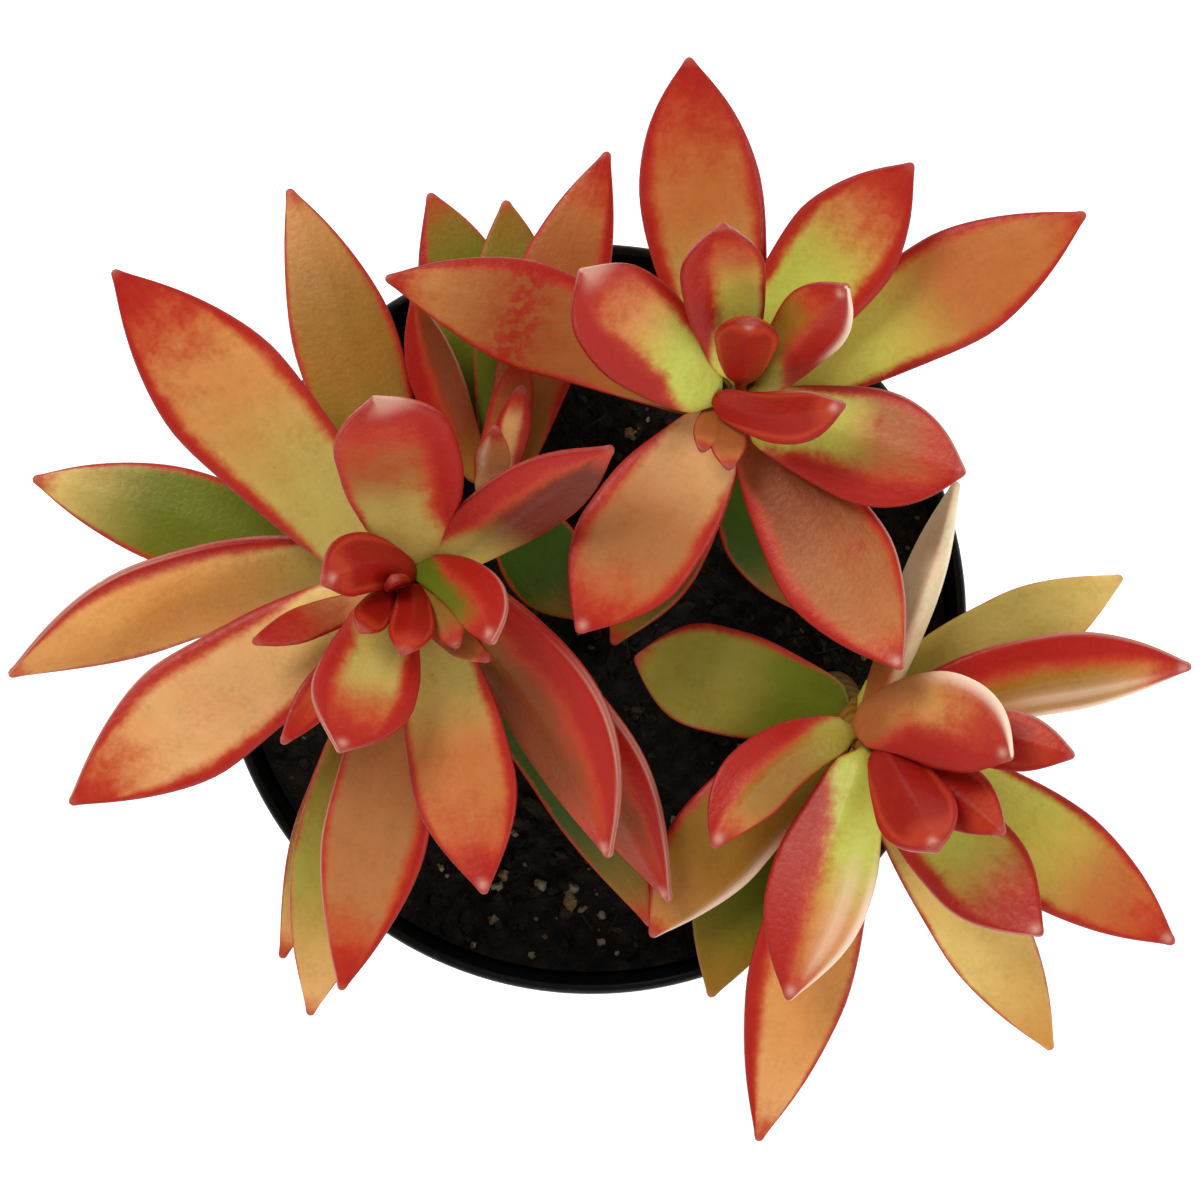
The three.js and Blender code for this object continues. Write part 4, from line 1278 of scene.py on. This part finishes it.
class SEDUM_OT_make_leafy_stem(bpy.types.Operator):
    """Model one leafy stem: its bare stem and all its leaves"""

    bl_idname = "sedum.make_leafy_stem"
    bl_label = "Make a leafy stem"

    node_name: EnumProperty(
        name="Stem",
        description="Which leafy stem to model",
        items=[(name, name.replace("_", " ").capitalize(), "") for name in LEAFY_STEMS],
    )

    def execute(self, context):
        sizes = context.scene.sedum_leaves
        soil = context.scene.sedum_soil
        stem = LEAFY_STEMS[self.node_name]
        pieces = [stem_piece(stem, soil, sizes)]
        for number, leaf in enumerate(stem["leaves"]):
            seed = f"{self.node_name} {number}"
            pieces.append(leaf_piece(leaf, anchor_of(leaf, stem, soil), sizes, seed))
        for piece in pieces:
            face_outwards(piece)
        piece = joined(pieces, self.node_name.replace("leafy", "sedum"))
        shade_smooth(piece)
        material = bpy.data.materials.get("waxy_leaf_skin") or leaf_material(sizes)
        finish_piece(piece, piece.name, self.node_name, material)
        return {"FINISHED"}


# The stage

def soft_box(name, place, watts):
    """A large soft light that faces the plant"""
    deselect()
    bpy.ops.object.light_add(type="AREA", location=place)
    lamp = bpy.context.object
    lamp.name = name
    lamp.data.shape = "DISK"
    lamp.data.size = LAMP_SIZE
    lamp.data.energy = watts
    lamp.rotation_euler = (Vector(LAMP_AIM) - Vector(place)).to_track_quat("-Z", "Y").to_euler()


def studio_world(stage):
    """Even white light from all round, dim from straight above so that flat faces keep their colour"""
    world = bpy.data.worlds.new("studio_light")
    world.use_nodes = True
    tree = world.node_tree
    way = node(tree, "ShaderNodeTexCoord").outputs["Generated"]
    height = node(tree, "ShaderNodeSeparateXYZ", {"Vector": way}).outputs["Z"]
    level = node(tree, "ShaderNodeMapRange", {
        "Value": height, "From Min": 0.5, "From Max": 0.92, "To Min": stage.horizon, "To Max": stage.zenith,
    }, interpolation_type="SMOOTHSTEP")
    tree.nodes["Background"].inputs["Color"].default_value = (1, 1, 1, 1)
    tree.links.new(level.outputs["Result"], tree.nodes["Background"].inputs["Strength"])
    return world


class SEDUM_OT_make_stage(bpy.types.Operator):
    """Set up the floor, the soft light and the camera straight above the plant"""

    bl_idname = "sedum.make_stage"
    bl_label = "Make the stage"

    def execute(self, context):
        stage = context.scene.sedum_stage
        deselect()
        bpy.ops.mesh.primitive_plane_add(size=stage.floor_size)
        floor = context.object
        floor.name = "studio_floor"
        floor.data.materials.append(floor_material(stage))
        context.scene.world = studio_world(stage)
        for name, place, watts in LAMPS:
            soft_box(name, place, watts)
        deselect()
        place = (stage.aim_x, stage.aim_y, stage.camera_height)
        bpy.ops.object.camera_add(location=place, rotation=(0, 0, 0))
        camera = context.object
        camera.name = "camera_above"
        camera.data.lens = stage.lens
        camera.data.sensor_width = SENSOR_WIDTH
        context.scene.camera = camera
        context.scene.view_settings.view_transform = "Standard"
        return {"FINISHED"}


class SEDUM_PT_panel(bpy.types.Panel):
    """The sidebar panel that lists the plant's pieces"""

    bl_idname = "SEDUM_PT_panel"
    bl_label = "Potted sedum"
    bl_space_type = "VIEW_3D"
    bl_region_type = "UI"
    bl_category = "Sedum"

    def draw(self, context):
        column = self.layout.column()
        column.operator("sedum.make_pot")
        column.operator("sedum.make_soil")
        column.operator("sedum.make_grains")
        for name in LEAFY_STEMS:
            label = name.replace("_", " ").capitalize()
            column.operator("sedum.make_leafy_stem", text=label).node_name = name
        column.operator("sedum.make_stage")


SETTINGS = {
    "sedum_pot": PotSettings,
    "sedum_soil": SoilSettings,
    "sedum_leaves": LeafSettings,
    "sedum_stage": StageSettings,
}
CLASSES = (
    *SETTINGS.values(),
    SEDUM_OT_make_pot,
    SEDUM_OT_make_soil,
    SEDUM_OT_make_grains,
    SEDUM_OT_make_leafy_stem,
    SEDUM_OT_make_stage,
    SEDUM_PT_panel,
)


def register():
    for each in CLASSES:
        bpy.utils.register_class(each)
    for name, group in SETTINGS.items():
        setattr(bpy.types.Scene, name, PointerProperty(type=group))


def unregister():
    for name in SETTINGS:
        delattr(bpy.types.Scene, name)
    for each in reversed(CLASSES):
        bpy.utils.unregister_class(each)


def main():
    """Make every piece in order"""
    register()
    bpy.ops.sedum.make_pot()
    bpy.ops.sedum.make_soil()
    bpy.ops.sedum.make_grains()
    for name in LEAFY_STEMS:
        bpy.ops.sedum.make_leafy_stem(node_name=name)
    bpy.ops.sedum.make_stage()


if __name__ == "__main__":
    main()
